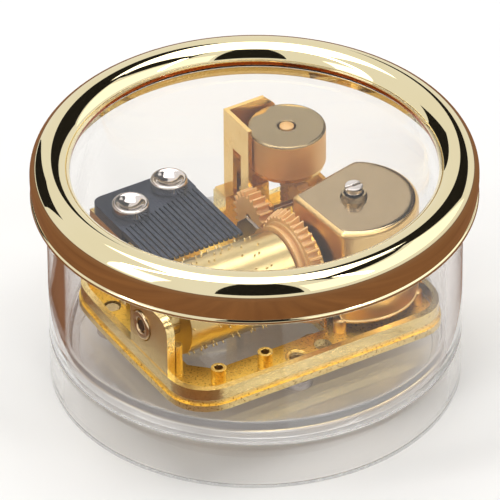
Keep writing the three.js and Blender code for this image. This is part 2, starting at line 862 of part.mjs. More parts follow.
// Draws the tooth tips in at one end of an upright tooth ring
function dropTips(geometry, foot) {
  const position = geometry.attributes.position;
  for (let index = 0; index < position.count; index += 1) {
    const x = position.getX(index);
    const y = position.getY(index);
    const radius = Math.hypot(x, y);
    const atFoot = position.getZ(index) < foot + crownSink;
    if (atFoot && radius > (gearTipRadius + gearRootRadius) / 2) {
      const share = (radius - gearCrestDrop) / radius;
      position.setXY(index, x * share, y * share);
    }
  }
  return geometry;
}

// Direction from the cylinder's axis to the intermediate arbor
function meshAngleDeg() {
  return THREE.MathUtils.radToDeg(Math.atan2(intermediateLift, intermediateQ - axisQ));
}

function makeCylinderArbor() {
  const left = endWallLeft - grommetLip + seatGap;
  const right = bearingPlateLeft + bearingPlateThickness;
  piece(movement, 'cylinder_arbor', onAxis(disc(cylinderArborRadius, left, right, smallSegments)), 'steel');
}

// Spring housing and winding train

function makeSpringHousing() {
  const dome = turned([
    [0, housingFoot],
    [housingRadius, housingFoot],
    ...arcPoints(housingRadius - housingRound, housingTop - housingRound, housingRound, 0, 90, coarseSteps),
    [0, housingTop],
  ], drumSegments);
  const shell = common(dome, prism(flattedOutline(0), housingFoot - overrun, housingTop + overrun));
  const cavity = prism(flattedOutline(housingWall), housingFoot - overrun, housingTop - housingWall);
  const bore = disc(arborBore, housingFoot, housingTop + overrun, smallSegments);
  const legRing = mainWheelRadius + runningGap + housingLegRadius;
  const legs = housingLegDegs.map((degrees) => {
    const angle = THREE.MathUtils.degToRad(degrees);
    return disc(housingLegRadius, webTop, housingFoot + housingRound, tinySegments)
      .translate(legRing * Math.cos(angle), legRing * Math.sin(angle), 0);
  });
  const housing = carve([carve([shell], [cavity, bore]), ...legs]);
  piece(movement, 'spring_housing', housing.translate(springP, springQ, 0), 'coverGold');
}

// Circle with two flats, drawn in by an inset
function flattedOutline(inset) {
  const circle = arcPoints(0, 0, housingRadius - inset, 0, 360 - 360 / drumSegments, drumSegments - 1);
  const oneFlat = cutAcross(circle, housingLeftFlat - inset, housingLeftFlatDeg);
  return cutAcross(oneFlat, housingBackFlat - inset, housingBackFlatDeg);
}

// Cuts an outline straight across at a distance from its centre
function cutAcross(outline, away, middleDeg) {
  const middle = THREE.MathUtils.degToRad(middleDeg);
  const beyond = ([x, y]) => x * Math.cos(middle) + y * Math.sin(middle) - away;
  return outline.flatMap((point, index) => {
    const next = outline[(index + 1) % outline.length];
    const here = beyond(point);
    const there = beyond(next);
    const kept = here <= 0 ? [point] : [];
    if (here * there < 0) {
      const share = here / (here - there);
      kept.push(point.map((value, axis) => value + (next[axis] - value) * share));
    }
    return kept;
  });
}

function makeMainspring() {
  const stepsPerTurn = roundSegments / 2;
  const outer = [];
  const inner = [];
  for (let step = 0; step <= springTurns * stepsPerTurn; step += 1) {
    const turn = step / stepsPerTurn;
    const radius = springInnerRadius + springPitch * turn;
    const angle = 2 * Math.PI * turn;
    outer.push([(radius + springStrip / 2) * Math.cos(angle), (radius + springStrip / 2) * Math.sin(angle)]);
    inner.push([(radius - springStrip / 2) * Math.cos(angle), (radius - springStrip / 2) * Math.sin(angle)]);
  }
  const strip = prism([...outer, ...inner.toReversed()], springFoot, springFoot + springHeight);
  console.log('mainspring least gap', leastGap(outer, inner, stepsPerTurn).toFixed(2), 'mm');
  piece(movement, 'mainspring', strip.translate(springP, springQ, 0), 'springSteel');
}

// Least distance between one turn's outer side and the next turn's inner side
function leastGap(outer, inner, stepsPerTurn) {
  const gaps = outer.slice(0, -stepsPerTurn).map(([x, y], index) => {
    const [nextX, nextY] = inner[index + stepsPerTurn];
    return Math.hypot(nextX - x, nextY - y);
  });
  return Math.min(...gaps);
}

function makeWindingArbor() {
  const top = housingTop + collarHeight + runningGap;
  const arbor = disc(arborRadius, arborFoot, top, smallSegments);
  piece(movement, 'winding_arbor', arbor.translate(springP, springQ, 0), 'steel');
  const bush = turned([
    [arborBore, housingTop],
    [collarOuterRadius + seatGap, housingTop],
    [collarOuterRadius, housingTop + collarHeight],
    [arborBore, housingTop + collarHeight],
    [arborBore, housingTop],
  ], screwSegments);
  piece(movement, 'arbor_bush', bush.translate(springP, springQ, 0), 'gold');
  const head = disc(arborScrewRadius, top, top + arborScrewHeight, screwSegments);
  const slot = block(
    [-arborScrewRadius - overrun, -arborScrewSlot / 2, top + arborScrewHeight / 2],
    [arborScrewRadius + overrun, arborScrewSlot / 2, top + arborScrewHeight + overrun]);
  piece(movement, 'arbor_screw', carve([head], [slot]).translate(springP, springQ, 0), 'steel');
}

function makeMainWheel() {
  const foot = mainWheelFoot;
  const top = foot + mainWheelThickness;
  const rows = toothRows(mainWheelRadius, mainWheelRadius - mainWheelToothDepth);
  const wheel = prism(toothedOutline(mainWheelTeeth, rows), foot, top);
  const bore = disc(arborRadius + runningGap, foot - overrun, top + overrun, smallSegments);
  const pivotRing = (ratchetRadius + mainWheelRadius) / 2;
  const pivot = disc(clickPivotRadius, foot, ratchetFoot + ratchetThickness, tinySegments).translate(pivotRing, 0, 0);
  piece(movement, 'main_wheel', carve([wheel, pivot], [bore]).translate(springP, springQ, 0), 'brass');
  makeClick(pivotRing);
}

// The pawl reaches from its pivot to just outside the ratchet's tips
function makeClick(pivotRing) {
  const foot = ratchetFoot;
  const top = ratchetFoot + ratchetThickness - meshPlay;
  const tipRing = ratchetRadius + runningGap;
  const tip = [tipRing * Math.cos(clickTipAngle()), tipRing * Math.sin(clickTipAngle())];
  const finger = prism([
    [pivotRing - clickWidth / 2, 0],
    [pivotRing + clickWidth, 0],
    [tip[0] + clickWidth / 2, tip[1] + clickWidth / 2],
    tip,
  ], foot, top);
  const eye = disc(clickWidth + clickPivotRadius / 2, foot, top, smallSegments).translate(pivotRing, 0, 0);
  const bore = disc(clickPivotRadius + seatGap, foot - overrun, top + overrun, tinySegments)
    .translate(pivotRing, 0, 0);
  piece(movement, 'click', carve([finger, eye], [bore]).translate(springP, springQ, 0), 'steel');
}

function clickTipAngle() {
  return clickLength / (ratchetRadius + mainWheelRadius / 2);
}

function makeRatchet() {
  const top = ratchetFoot + ratchetThickness;
  const wheel = prism(sawOutline(ratchetTeeth, ratchetRadius, ratchetRadius - ratchetDepth), ratchetFoot, top);
  const bore = disc(arborRadius + seatGap, ratchetFoot - overrun, top + overrun, smallSegments);
  piece(movement, 'ratchet_wheel', carve([wheel], [bore]).translate(springP, springQ, 0), 'steel');
}

function makeKey() {
  const lobe = keyHeight / 2;
  const lobeX = keySpan / 2 - lobe;
  const half = keyThickness / 2;
  const waist = lobe * keyWaistShare;
  const wings = [block([-lobeX, -waist, -half], [lobeX, waist, half])];
  const holes = [];
  for (const x of [-lobeX, lobeX]) {
    wings.push(disc(lobe, -half, half, screwSegments).translate(x, 0, 0));
    holes.push(disc(keyWingHole, -keyThickness, keyThickness, smallSegments).translate(x, 0, 0));
  }
  const plate = carve(wings, holes).rotateX(Math.PI / 2).translate(0, 0, keyMiddle);
  const hub = disc(keyHubRadius, keyMiddle - waist, keyHubTop, smallSegments);
  const socket = disc(arborRadius + seatGap, keyMiddle, keyHubTop + overrun, smallSegments);
  piece(movement, 'winding_key', carve([plate, hub], [socket]).translate(springP, springQ, 0), 'gold');
}

// Intermediate arbor with its two wheels

function onIntermediate(geometry) {
  return alongP(geometry).translate(0, intermediateQ, intermediateHeight);
}

function makeIntermediate() {
  const right = intermediateLeft + intermediateWidth;
  const halfTooth = halfTurnDeg / intermediateTeeth;
  const rows = toothRows(intermediateTipRadius, intermediateRootRadius);
  const outline = toothedOutline(intermediateTeeth, rows, meshAngleDeg() + halfTurnDeg + halfTooth);
  const bore = disc(intermediateArborRadius + seatGap, 0, bracketRight, tinySegments);
  const wheel = carve([prism(outline, intermediateLeft, right)], [bore]);
  piece(movement, 'intermediate_wheel', onIntermediate(wheel), 'amber');
  const wormRows = toothRows(wormWheelRadius, wormWheelRadius - wormWheelToothDepth);
  const wormWheel = prism(toothedOutline(wormWheelTeeth, wormRows),
    governorP - wormWheelWidth / 2, governorP + wormWheelWidth / 2);
  piece(movement, 'worm_wheel', onIntermediate(carve([wormWheel], [bore])), 'amber');
  const arborRight = bracketRight + meshPlay;
  const arbor = disc(intermediateArborRadius, intermediateLeft - seatGap, arborRight, tinySegments);
  piece(movement, 'intermediate_arbor', onIntermediate(arbor), 'steel');
}

// Governor

function makeGovernorBracket() {
  const left = bracketLeft;
  const shelfFoot = shelfTop - bracketSheet;
  const kept = [
    bracketSide(left, bracketTop),
    bracketSide(bracketRightLugP, bracketLugTop),
    bracketRear(),
    block([pedestalLeft, pedestalFront, pedestalTop], [pedestalRight, bracketRearFace, pedestalTop + bracketSheet]),
    disc(cupRadius - cupWall / 2, shelfFoot, shelfTop, roundSegments).translate(governorP, governorQ, 0),
    block([left, bracketLeafFront, shelfFoot], [bracketRightLugP, bracketRearFace, shelfTop]),
  ];
  const screw = bracketScrewPlace();
  const removed = [
    block([left - overrun, bracketSlotFront, pedestalTop + bracketSheet],
      [left + bracketSheet + runningGap, bracketSlotFront + bracketSlotWidth, bracketSlotTop]),
    onIntermediate(disc(intermediateArborRadius + runningGap, 0, bedLength, tinySegments)),
    disc(wormRadius + runningGap, bedFoot, bracketTop, smallSegments).translate(governorP, governorQ, 0),
    disc(bracketScrewRadius + seatGap, pedestalTop - overrun, pedestalTop + overrun, tinySegments)
      .translate(screw.p, screw.q, 0),
  ];
  piece(movement, 'governor_bracket', carve(kept, removed), 'gold');
}

// Upright side of the bracket: a low lug in front and a leaf behind it
function bracketSide(left, leafTop) {
  return alongP(prism([
    [bracketFront, bracketLugFoot],
    [pedestalFront - seatGap, bracketLugFoot],
    [pedestalFront - seatGap, pedestalTop],
    [bracketRearFace, pedestalTop],
    [bracketRearFace, leafTop],
    [bracketLeafFront, leafTop],
    [bracketLeafFront, bracketLugTop],
    [bracketFront, bracketLugTop],
  ], left, left + bracketSheet));
}

function bracketRear() {
  const slopeEnd = governorP + bracketSlopeRun;
  return alongQ(prism([
    [pedestalTop, bracketLeft],
    [pedestalTop, bracketRight],
    [bracketLugTop, bracketRight],
    [bracketTop - bracketSlopeRun, slopeEnd],
    [bracketTop, governorP],
    [bracketTop, bracketLeft],
  ], bracketBack, bracketRearFace));
}

function bracketScrewPlace() {
  return {
    p: bracketLeft + bracketSheet + bracketScrewHead + seatGap,
    q: (pedestalFront + bracketBack) / 2,
  };
}

function bracketScrewFoot() {
  return pedestalTop - bracketScrewHead;
}

function makeBracketScrew() {
  const { p, q } = bracketScrewPlace();
  const seat = pedestalTop + bracketSheet;
  const head = disc(bracketScrewHead, seat, seat + bracketScrewRadius, smallSegments);
  const shank = disc(bracketScrewRadius, bracketScrewFoot(), seat + bracketScrewRadius / 2, tinySegments);
  piece(movement, 'bracket_screw', carve([head, shank]).translate(p, q, 0), 'steel');
}

function makeGovernorCup() {
  const bore = spindleTipRadius + runningGap;
  const cup = turned([
    [bore, cupTop - cupWall],
    [cupRadius - cupWall, cupTop - cupWall],
    [cupRadius - cupWall, shelfTop],
    [cupRadius, shelfTop],
    ...arcPoints(cupRadius - cupRound, cupTop - cupRound, cupRound, 0, 90, coarseSteps),
    [bore, cupTop],
    [bore, cupTop - cupWall],
  ], roundSegments);
  piece(movement, 'governor_cup', cup.translate(governorP, governorQ, 0), 'coverGold');
}

function makeGovernorSpindle() {
  const foot = webTop + spindleBossHeight + runningGap;
  const wormFoot = intermediateHeight - wormLength / 2;
  const hubFoot = shelfTop + runningGap;
  const shaft = turned([
    [0, foot],
    [spindleRadius, foot],
    [spindleRadius, hubFoot],
    [weightReach / 2, hubFoot],
    [weightReach / 2, hubFoot + rotorDiscThickness],
    [spindleRadius, hubFoot + rotorDiscThickness],
    [spindleRadius, cupTop - cupWall - runningGap],
    [spindleTipRadius, cupTop - cupWall],
    [spindleTipRadius, cupTop],
    [0, cupTop + spindleTipRise],
  ], tinySegments + tinySegments);
  const spindle = carve([shaft, worm(wormFoot)]).translate(governorP, governorQ, 0);
  piece(movement, 'governor_spindle', spindle, 'amber');
}

// Single-start worm: an eccentric round section that turns as it rises
function worm(foot) {
  const core = wormRadius - wormThreadDepth / 2;
  const corners = arcPoints(wormThreadDepth / 2, 0, core, 0, 360 - 360 / wormSides, wormSides - 1);
  const section = new THREE.Shape(corners.map(([x, y]) => new THREE.Vector2(x, y)));
  const turns = Math.round(wormLength / wormPitch);
  const geometry = new THREE.ExtrudeGeometry(section, {
    depth: wormLength, steps: turns * wormStepsPerTurn, bevelEnabled: false,
  });
  const position = geometry.attributes.position;
  const point = new THREE.Vector3();
  const up = new THREE.Vector3(0, 0, 1);
  for (let index = 0; index < position.count; index += 1) {
    point.fromBufferAttribute(position, index);
    point.applyAxisAngle(up, 2 * Math.PI * turns * point.z / wormLength);
    position.setXYZ(index, point.x, point.y, point.z);
  }
  return geometry.translate(0, 0, foot);
}

function makeGovernorWeights() {
  const foot = shelfTop + runningGap + rotorDiscThickness;
  const start = weightStartDeg;
  const half = prism([
    ...arcPoints(0, 0, weightReach, start, halfTurnDeg - start),
    ...arcPoints(0, 0, weightReach - weightThickness, halfTurnDeg - start, start),
  ], foot, foot + weightHeight);
  piece(movement, 'governor_weight_back', half.clone().translate(governorP, governorQ, 0), 'brass');
  piece(movement, 'governor_weight_front', half.rotateZ(Math.PI).translate(governorP, governorQ, 0), 'brass');
}

// Screws that hold the movement to the floor of the case

function makeMountingScrews() {
  const screw = turned([
    [0, floorUnder - mountHeadHeight],
    [mountHeadRadius, floorUnder - mountHeadHeight],
    [mountHeadRadius, floorUnder],
    [mountScrewRadius, floorUnder],
    [mountScrewRadius, webTop - seatGap],
    [0, webTop - seatGap],
  ], smallSegments);
  for (const { name, p, q } of mountPlaces) {
    piece(movement, `mounting_screw_${name}`, screw.clone().translate(p, q, 0), 'steel');
  }
}

makeBaseTray();
makeCaseWall();
makeBezelRing();
makeLidWindow();
makeBedplate();
makeGrommet();
makeBearingPlate();
makeComb();
makeCombScrews();
makeCylinder();
makeCylinderGear();
makeCylinderArbor();
makeSpringHousing();
makeMainspring();
makeWindingArbor();
makeMainWheel();
makeRatchet();
makeKey();
makeIntermediate();
makeGovernorBracket();
makeBracketScrew();
makeGovernorCup();
makeGovernorSpindle();
makeGovernorWeights();
makeMountingScrews();

export default musicBox;
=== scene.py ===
"""Looks of a round clear music box with a key-wound, pinned-cylinder movement.

Sizes are in millimetres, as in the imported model, and meshes are made in metres.
The movement has its own plan: p runs along the bedplate's front side, q towards
its back, and heights stay above the table.
"""

import json
import logging
import math
from collections.abc import Iterable, Mapping, Sequence
from dataclasses import dataclass
from enum import Enum

import bmesh
import bpy
from mathutils import Matrix, Vector

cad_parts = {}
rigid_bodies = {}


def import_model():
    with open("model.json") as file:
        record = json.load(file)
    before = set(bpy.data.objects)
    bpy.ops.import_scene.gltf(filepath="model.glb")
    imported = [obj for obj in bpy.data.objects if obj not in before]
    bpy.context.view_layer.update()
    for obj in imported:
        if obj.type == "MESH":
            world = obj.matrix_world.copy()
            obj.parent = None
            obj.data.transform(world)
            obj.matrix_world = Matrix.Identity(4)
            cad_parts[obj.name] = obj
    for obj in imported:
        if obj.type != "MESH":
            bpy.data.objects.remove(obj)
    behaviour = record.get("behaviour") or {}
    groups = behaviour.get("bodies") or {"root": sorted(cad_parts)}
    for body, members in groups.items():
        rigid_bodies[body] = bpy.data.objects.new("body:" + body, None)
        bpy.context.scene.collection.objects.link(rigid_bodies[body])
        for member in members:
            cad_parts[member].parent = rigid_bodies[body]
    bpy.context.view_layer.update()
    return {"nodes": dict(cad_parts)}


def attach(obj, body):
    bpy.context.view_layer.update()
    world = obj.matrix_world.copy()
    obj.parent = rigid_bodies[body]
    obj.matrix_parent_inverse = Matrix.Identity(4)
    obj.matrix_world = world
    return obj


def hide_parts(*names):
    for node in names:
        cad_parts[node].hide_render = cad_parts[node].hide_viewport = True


def clear_scene() -> None:
    """Removes what Blender puts in a new file."""
    for leftover in list(bpy.data.objects):
        bpy.data.objects.remove(leftover, do_unlink=True)


clear_scene()
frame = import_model()

LOG = logging.getLogger("music_box")
MM = 0.001
TINY = 1e-6
FLAT_DEG = 1.0
FULL_TURN = 2 * math.pi

Point = tuple[float, float]
Spot = tuple[float, float, float]
Colour = tuple[float, float, float]
Node = bpy.types.Node
Socket = bpy.types.NodeSocket
Ring = list[bmesh.types.BMVert]
EVEN = (1.0, 1.0, 1.0)


class Body(Enum):
    """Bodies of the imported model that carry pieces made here."""

    CASE = "case"
    LID = "lid"
    CYLINDER = "cylinder"


def linear(value: int) -> float:
    """Linear value of one channel of 0 to 255, by the standard screen curve."""
    share = value / 255
    return share / 12.92 if share <= 0.04045 else ((share + 0.055) / 1.055) ** 2.4


def srgb(red: int, green: int, blue: int) -> Colour:
    """Turns a colour of 0 to 255 into the linear colour that a shader takes."""
    return linear(red), linear(green), linear(blue)


# Shader expressions


class Signal:
    """A number in a shader; an expression on it adds its Math nodes."""

    def __init__(self, graph: "ShaderGraph", socket: Socket) -> None:
        """Wraps an output socket of a graph."""
        self.graph = graph
        self.socket = socket

    def _math(self, operation: str, first: "Value", second: "Value") -> "Signal":
        """Adds a Math node for two values and returns its result."""
        node = self.graph.node("ShaderNodeMath", {"operation": operation}, {0: first, 1: second})
        return Signal(self.graph, node.outputs[0])

    def __add__(self, other: "Value") -> "Signal":
        """Sum."""
        return self._math("ADD", self, other)

    def __radd__(self, other: "Value") -> "Signal":
        """Sum with a plain number on the left."""
        return self._math("ADD", other, self)

    def __sub__(self, other: "Value") -> "Signal":
        """Difference."""
        return self._math("SUBTRACT", self, other)

    def __rsub__(self, other: "Value") -> "Signal":
        """Difference from a plain number."""
        return self._math("SUBTRACT", other, self)

    def __mul__(self, other: "Value") -> "Signal":
        """Product."""
        return self._math("MULTIPLY", self, other)

    def __rmul__(self, other: "Value") -> "Signal":
        """Product with a plain number on the left."""
        return self._math("MULTIPLY", other, self)

    def __gt__(self, other: "Value") -> "Signal":
        """One where this value is the larger, and zero elsewhere."""
        return self._math("GREATER_THAN", self, other)

    def __lt__(self, other: "Value") -> "Signal":
        """One where this value is the smaller, and zero elsewhere."""
        return self._math("LESS_THAN", self, other)


Value = Signal | float | int


class ShaderGraph:
    """The node tree of a material or a world."""

    def __init__(self, tree: bpy.types.NodeTree) -> None:
        """Empties a node tree and works in it."""
        self.tree = tree
        self.tree.nodes.clear()

    def node(
        self,
        kind: str,
        settings: Mapping[str, object] | None = None,
        inputs: Mapping[str | int, object] | None = None,
    ) -> Node:
        """Adds any node.

        Args:
            kind: The node's type.
            settings: Its settings.
            inputs: Values or links of its sockets, by name or number.

        Returns:
            The new node.
        """
        made = self.tree.nodes.new(kind)
        for name, value in (settings or {}).items():
            setattr(made, name, value)
        for key, value in (inputs or {}).items():
            self._feed(made.inputs[key], value)
        return made

    def _feed(self, socket: Socket, value: object) -> None:
        """Links a socket or sets its own value.

        Args:
            socket: The input socket.
            value: A signal, an output socket or a plain value.
        """
        if isinstance(value, Signal):
            value = value.socket
        if isinstance(value, Socket):
            self.tree.links.new(value, socket)
        elif isinstance(value, tuple) and socket.type == "RGBA":
            socket.default_value = (*value[:3], 1.0)
        else:
            socket.default_value = value

    def coordinate(self, kind: str) -> Socket:
        """One of the object's own coordinates."""
        return self.node("ShaderNodeTexCoord").outputs[kind]

    def vector_math(self, operation: str, inputs: Mapping[int, object]) -> Node:
        """Adds a Vector Math node."""
        return self.node("ShaderNodeVectorMath", {"operation": operation}, inputs)

    def scaled(self, vector: Socket, factors: Colour) -> Socket:
        """A vector drawn out by a factor along each axis."""
        return self.vector_math("MULTIPLY", {0: vector, 1: factors}).outputs[0]

    def millimetres(self, stretch: Colour = EVEN) -> Socket:
        """Position on the object in millimetres, drawn out by a factor along each axis."""
        return self.scaled(self.coordinate("Object"), tuple(factor / MM for factor in stretch))

    def height_of(self, vector: Socket) -> Signal:
        """The upright part of a vector."""
        return Signal(self, self.node("ShaderNodeSeparateXYZ", None, {0: vector}).outputs[2])

    def height(self) -> Signal:
        """Height on the object in millimetres."""
        return self.height_of(self.millimetres())

    def radius(self) -> Signal:
        """Distance from the object's upright axis in millimetres."""
        flat = self.scaled(self.millimetres(), (1.0, 1.0, 0.0))
        return Signal(self, self.vector_math("LENGTH", {0: flat}).outputs["Value"])

    def noise(self, per_mm: float, detail: float = 3.0, stretch: Colour = EVEN) -> Signal:
        """Smooth noise from 0 to 1, with so many cells to a millimetre."""
        inputs = {"Vector": self.millimetres(stretch), "Scale": per_mm, "Detail": detail}
        return Signal(self, self.node("ShaderNodeTexNoise", None, inputs).outputs["Fac"])

    def spread(self, value: Signal, low: float, high: float) -> Signal:
        """Brings a value of 0 to 1 into a range."""
        return value * (high - low) + low

    def mixed(self, factor: Value, first: object, second: object) -> Socket:
        """Mixes two colours."""
        return self.node("ShaderNodeMix", {"data_type": "RGBA"}, {0: factor, 6: first, 7: second}).outputs[2]

    def worn(self, factor: Value, colour: Colour, share: float) -> Socket:
        """Mixes a colour with a darker share of itself."""
        return self.mixed(factor, colour, tuple(share * part for part in colour))

    def bump(self, height: Signal, depth_mm: float, strength: float = 1.0) -> Socket:
        """Normal of a surface whose height varies by so many millimetres."""
        inputs = {"Height": height, "Distance": depth_mm * MM, "Strength": strength}
        return self.node("ShaderNodeBump", None, inputs).outputs[0]

    def principled(self, inputs: Mapping[str, object]) -> Node:
        """Adds the shader that most surfaces use."""
        return self.node("ShaderNodeBsdfPrincipled", None, inputs)

    def metal(self, colour: object, roughness: Value, normal: Socket) -> Node:
        """Adds the shader of a metal surface."""
        inputs = {"Base Color": colour, "Metallic": 1.0, "Roughness": roughness, "Normal": normal}
        return self.principled(inputs)

    def close(self, shader: Node) -> None:
        """Makes a shader the surface of the material."""
        self.node("ShaderNodeOutputMaterial", None, {"Surface": shader.outputs[0]})


def new_material(name: str) -> tuple[bpy.types.Material, ShaderGraph]:
    """Makes a material.

    Args:
        name: Its name.

    Returns:
        The material and the empty graph of its nodes.
    """
    material = bpy.data.materials.new(name)
    material.use_nodes = True
    return material, ShaderGraph(material.node_tree)


class Finish:
    """A surface finish; its material is made once."""

    made: dict[str, bpy.types.Material] = {}

    def material(self) -> bpy.types.Material:
        """Makes the finish's material at its first use.

        Returns:
            The material.
        """
        if self.name not in Finish.made:
            Finish.made[self.name], graph = new_material(self.name)
            graph.close(self.shader(graph))
        return Finish.made[self.name]


@dataclass(frozen=True)
class ClearPlastic(Finish):
    """Polished clear moulded plastic with faint handling haze."""

    name: str
    tint: Colour
    haze: float = 0.02
    clearness: float = 1.0
    softness: float = 0.0
    ior: float = 1.49
    haze_per_mm: float = 0.12
    ripple_per_mm: float = 0.06
    ripple_depth: float = 0.02
    ripple_strength: float = 0.12
    haze_shade: float = 0.99

    def shader(self, graph: ShaderGraph) -> Node:
        """Builds the finish's shader.

        Args:
            graph: The material's graph.

        Returns:
            The shader.
        """
        haze = graph.noise(self.haze_per_mm, 2.0)
        ripple = graph.noise(self.ripple_per_mm, 1.0)
        return graph.principled(
            {
                "Base Color": graph.worn(haze, self.tint, self.haze_shade),
                "Roughness": graph.spread(haze, self.softness, self.softness + self.haze),
                "IOR": self.ior,
                "Transmission Weight": self.clearness,
                "Normal": graph.bump(ripple, self.ripple_depth, self.ripple_strength),
            },
        )


@dataclass(frozen=True)
class Metal(Finish):
    """Plated or bare metal with small changes of tone, gloss and grain."""

    name: str
    colour: Colour
    shade: Colour
    gloss_low: float
    gloss_high: float
    grain_per_mm: float = 6.0
    grain_depth: float = 0.004
    grain_stretch: Colour = EVEN
    patch_per_mm: float = 0.35

    def shader(self, graph: ShaderGraph) -> Node:
        """Builds the finish's shader.

        Args:
            graph: The material's graph.

        Returns:
            The shader.
        """
        patches = graph.noise(self.patch_per_mm)
        grain = graph.noise(self.grain_per_mm, 4.0, self.grain_stretch)
        roughness = graph.spread(0.5 * patches + 0.5 * grain, self.gloss_low, self.gloss_high)
        colour = graph.mixed(patches, self.colour, self.shade)
        return graph.metal(colour, roughness, graph.bump(grain, self.grain_depth))


@dataclass(frozen=True)
class RingPlating(Finish):
    """Mirror plating of the lid's ring, with a painted reddish reflection on its inner lip and painted shade
    on the window seat under it.
    """

    name: str
    colour: Colour
    shade: Colour
    # Reddish colour inside the lip radius: painted reflection, not the plating's own colour.
    lip: Colour
    lip_reflection_radius: float
    # Brown colour on the window seat under the lip: painted shade.
    under: Colour
    seat_shade_radius: float
    seat_shade_height: float
    gloss: float
    gloss_range: float = 0.035
    patch_per_mm: float = 0.08
    speck_per_mm: float = 2.5
    wave_per_mm: float = 0.25
    wave_depth: float = 0.004

    def shader(self, graph: ShaderGraph) -> Node:
        """Builds the finish's shader.

        Args:
            graph: The material's graph.

        Returns:
            The shader.
        """
        body = graph.mixed(graph.noise(self.patch_per_mm, 2.0), self.colour, self.shade)
        radius = graph.radius()
        # Painted shade on the window seat under the lip.
        painted_shade_seat = (radius < self.seat_shade_radius) * (graph.height() < self.seat_shade_height)
        body = graph.mixed(painted_shade_seat, body, self.under)
        specks = graph.noise(self.speck_per_mm, 2.0)
        return graph.metal(
            # Painted reflection on the inner lip.
            graph.mixed(radius < self.lip_reflection_radius, body, self.lip),
            graph.spread(specks, self.gloss, self.gloss + self.gloss_range),
            graph.bump(graph.noise(self.wave_per_mm, 1.0), self.wave_depth),
        )


@dataclass(frozen=True)
class DrawnSheet(Finish):
    """Pressed sheet, glossy on its flat top and satin on its drawn side, one sheet in two painted tones:
    dark reflection on top, warm light on the side.
    """

    name: str
    # Top and side are the same sheet: the top's dull tone is painted dark reflection, the side's warm tone
    # painted light.
    top: Colour
    side: Colour
    top_height: float
    top_gloss: float
    side_gloss: float
    patch_per_mm: float = 0.4
    line_per_mm: float = 5.0
    line_stretch: Colour = (0.4, 0.4, 2.2)
    line_gloss: float = 0.08
    line_depth: float = 0.006
    side_gloss_lines: float = 1.2
    side_depth_lines: float = 1.25
    top_shade: float = 0.86
    side_shade: float = 0.88

    def shader(self, graph: ShaderGraph) -> Node:
        """Builds the finish's shader.

        Args:
            graph: The material's graph.

        Returns:
            The shader.
        """
        # Above top_height: glossier, and painted with the darker reflection tone.
        on_top = graph.height() > self.top_height
        patches = graph.noise(self.patch_per_mm)
        lines = graph.noise(self.line_per_mm, 4.0, self.line_stretch)
        gloss = on_top * (self.top_gloss - self.side_gloss) + self.side_gloss
        side = graph.worn(patches, self.side, self.side_shade)
        top = graph.worn(patches, self.top, self.top_shade)
        return graph.metal(
            graph.mixed(on_top, side, top),
            gloss + self.line_gloss * lines * (self.side_gloss_lines - on_top),
            graph.bump(lines * (self.side_depth_lines - on_top), self.line_depth),
        )


@dataclass(frozen=True)
class CastGold(Finish):
    """Gold plated die casting: pale on its rim, with painted bounced light as a deeper yellow on its web,
    and a cast skin low down.
    """

    name: str
    bright: Colour
    deep: Colour
    # Deeper yellow of the upward faces low down: painted light bounced between the gold parts.
    web: Colour
    speck: Colour
    rough_below: float
    skin_per_mm: float = 2.8
    skin_depth: float = 0.085
    patch_per_mm: float = 0.3
    web_facing: float = 0.8
    low_pits: float = 0.2
    web_pits: float = 0.3
    speck_from: float = 0.54
    speck_edge: float = 7.0
    high_specks: float = 0.45
    gloss_low: float = 0.1
    gloss_high: float = 0.42

    def shader(self, graph: ShaderGraph) -> Node:
        """Builds the finish's shader.

        Args:
            graph: The material's graph.

        Returns:
            The shader.
        """
        skin = graph.noise(self.skin_per_mm, 5.0)
        patches = graph.noise(self.patch_per_mm)
        low = graph.height() < self.rough_below
        # Upward faces low down: the web, painted deeper yellow as painted bounced light; its extra pits are
        # real.
        web = low * (graph.height_of(graph.coordinate("Normal")) > self.web_facing)
        pits = skin * (0.5 + 0.5 * low) + self.low_pits * low + self.web_pits * web
        spread = self.high_specks + (1 - self.high_specks) * low
        specks = (skin - self.speck_from) * self.speck_edge * spread
        plating = graph.mixed(web, graph.mixed(patches, self.bright, self.deep), self.web)
        return graph.metal(
            graph.mixed(specks, plating, self.speck),
            graph.spread(pits, self.gloss_low, self.gloss_high),
            graph.bump(pits, self.skin_depth),
        )


@dataclass(frozen=True)
class MouldedPlastic(Finish):
    """Satin coloured plastic that lets a little light in."""

    name: str
    colour: Colour
    shade: Colour
    gloss: float
    gloss_range: float = 0.12
    patch_per_mm: float = 0.5
    skin_per_mm: float = 7.0
    skin_depth: float = 0.006
    light_depth: float = 0.25
    light_reach: Colour = (0.0012, 0.0007, 0.0003)

    def shader(self, graph: ShaderGraph) -> Node:
        """Builds the finish's shader.

        Args:
            graph: The material's graph.

        Returns:
            The shader.
        """
        patches = graph.noise(self.patch_per_mm)
        skin = graph.noise(self.skin_per_mm)
        return graph.principled(
            {
                "Base Color": graph.mixed(patches, self.colour, self.shade),
                "Roughness": graph.spread(skin, self.gloss, self.gloss + self.gloss_range),
                "Subsurface Weight": self.light_depth,
                "Subsurface Radius": self.light_reach,
                "Subsurface Scale": 1.0,
                "Normal": graph.bump(skin, self.skin_depth),
            },
        )


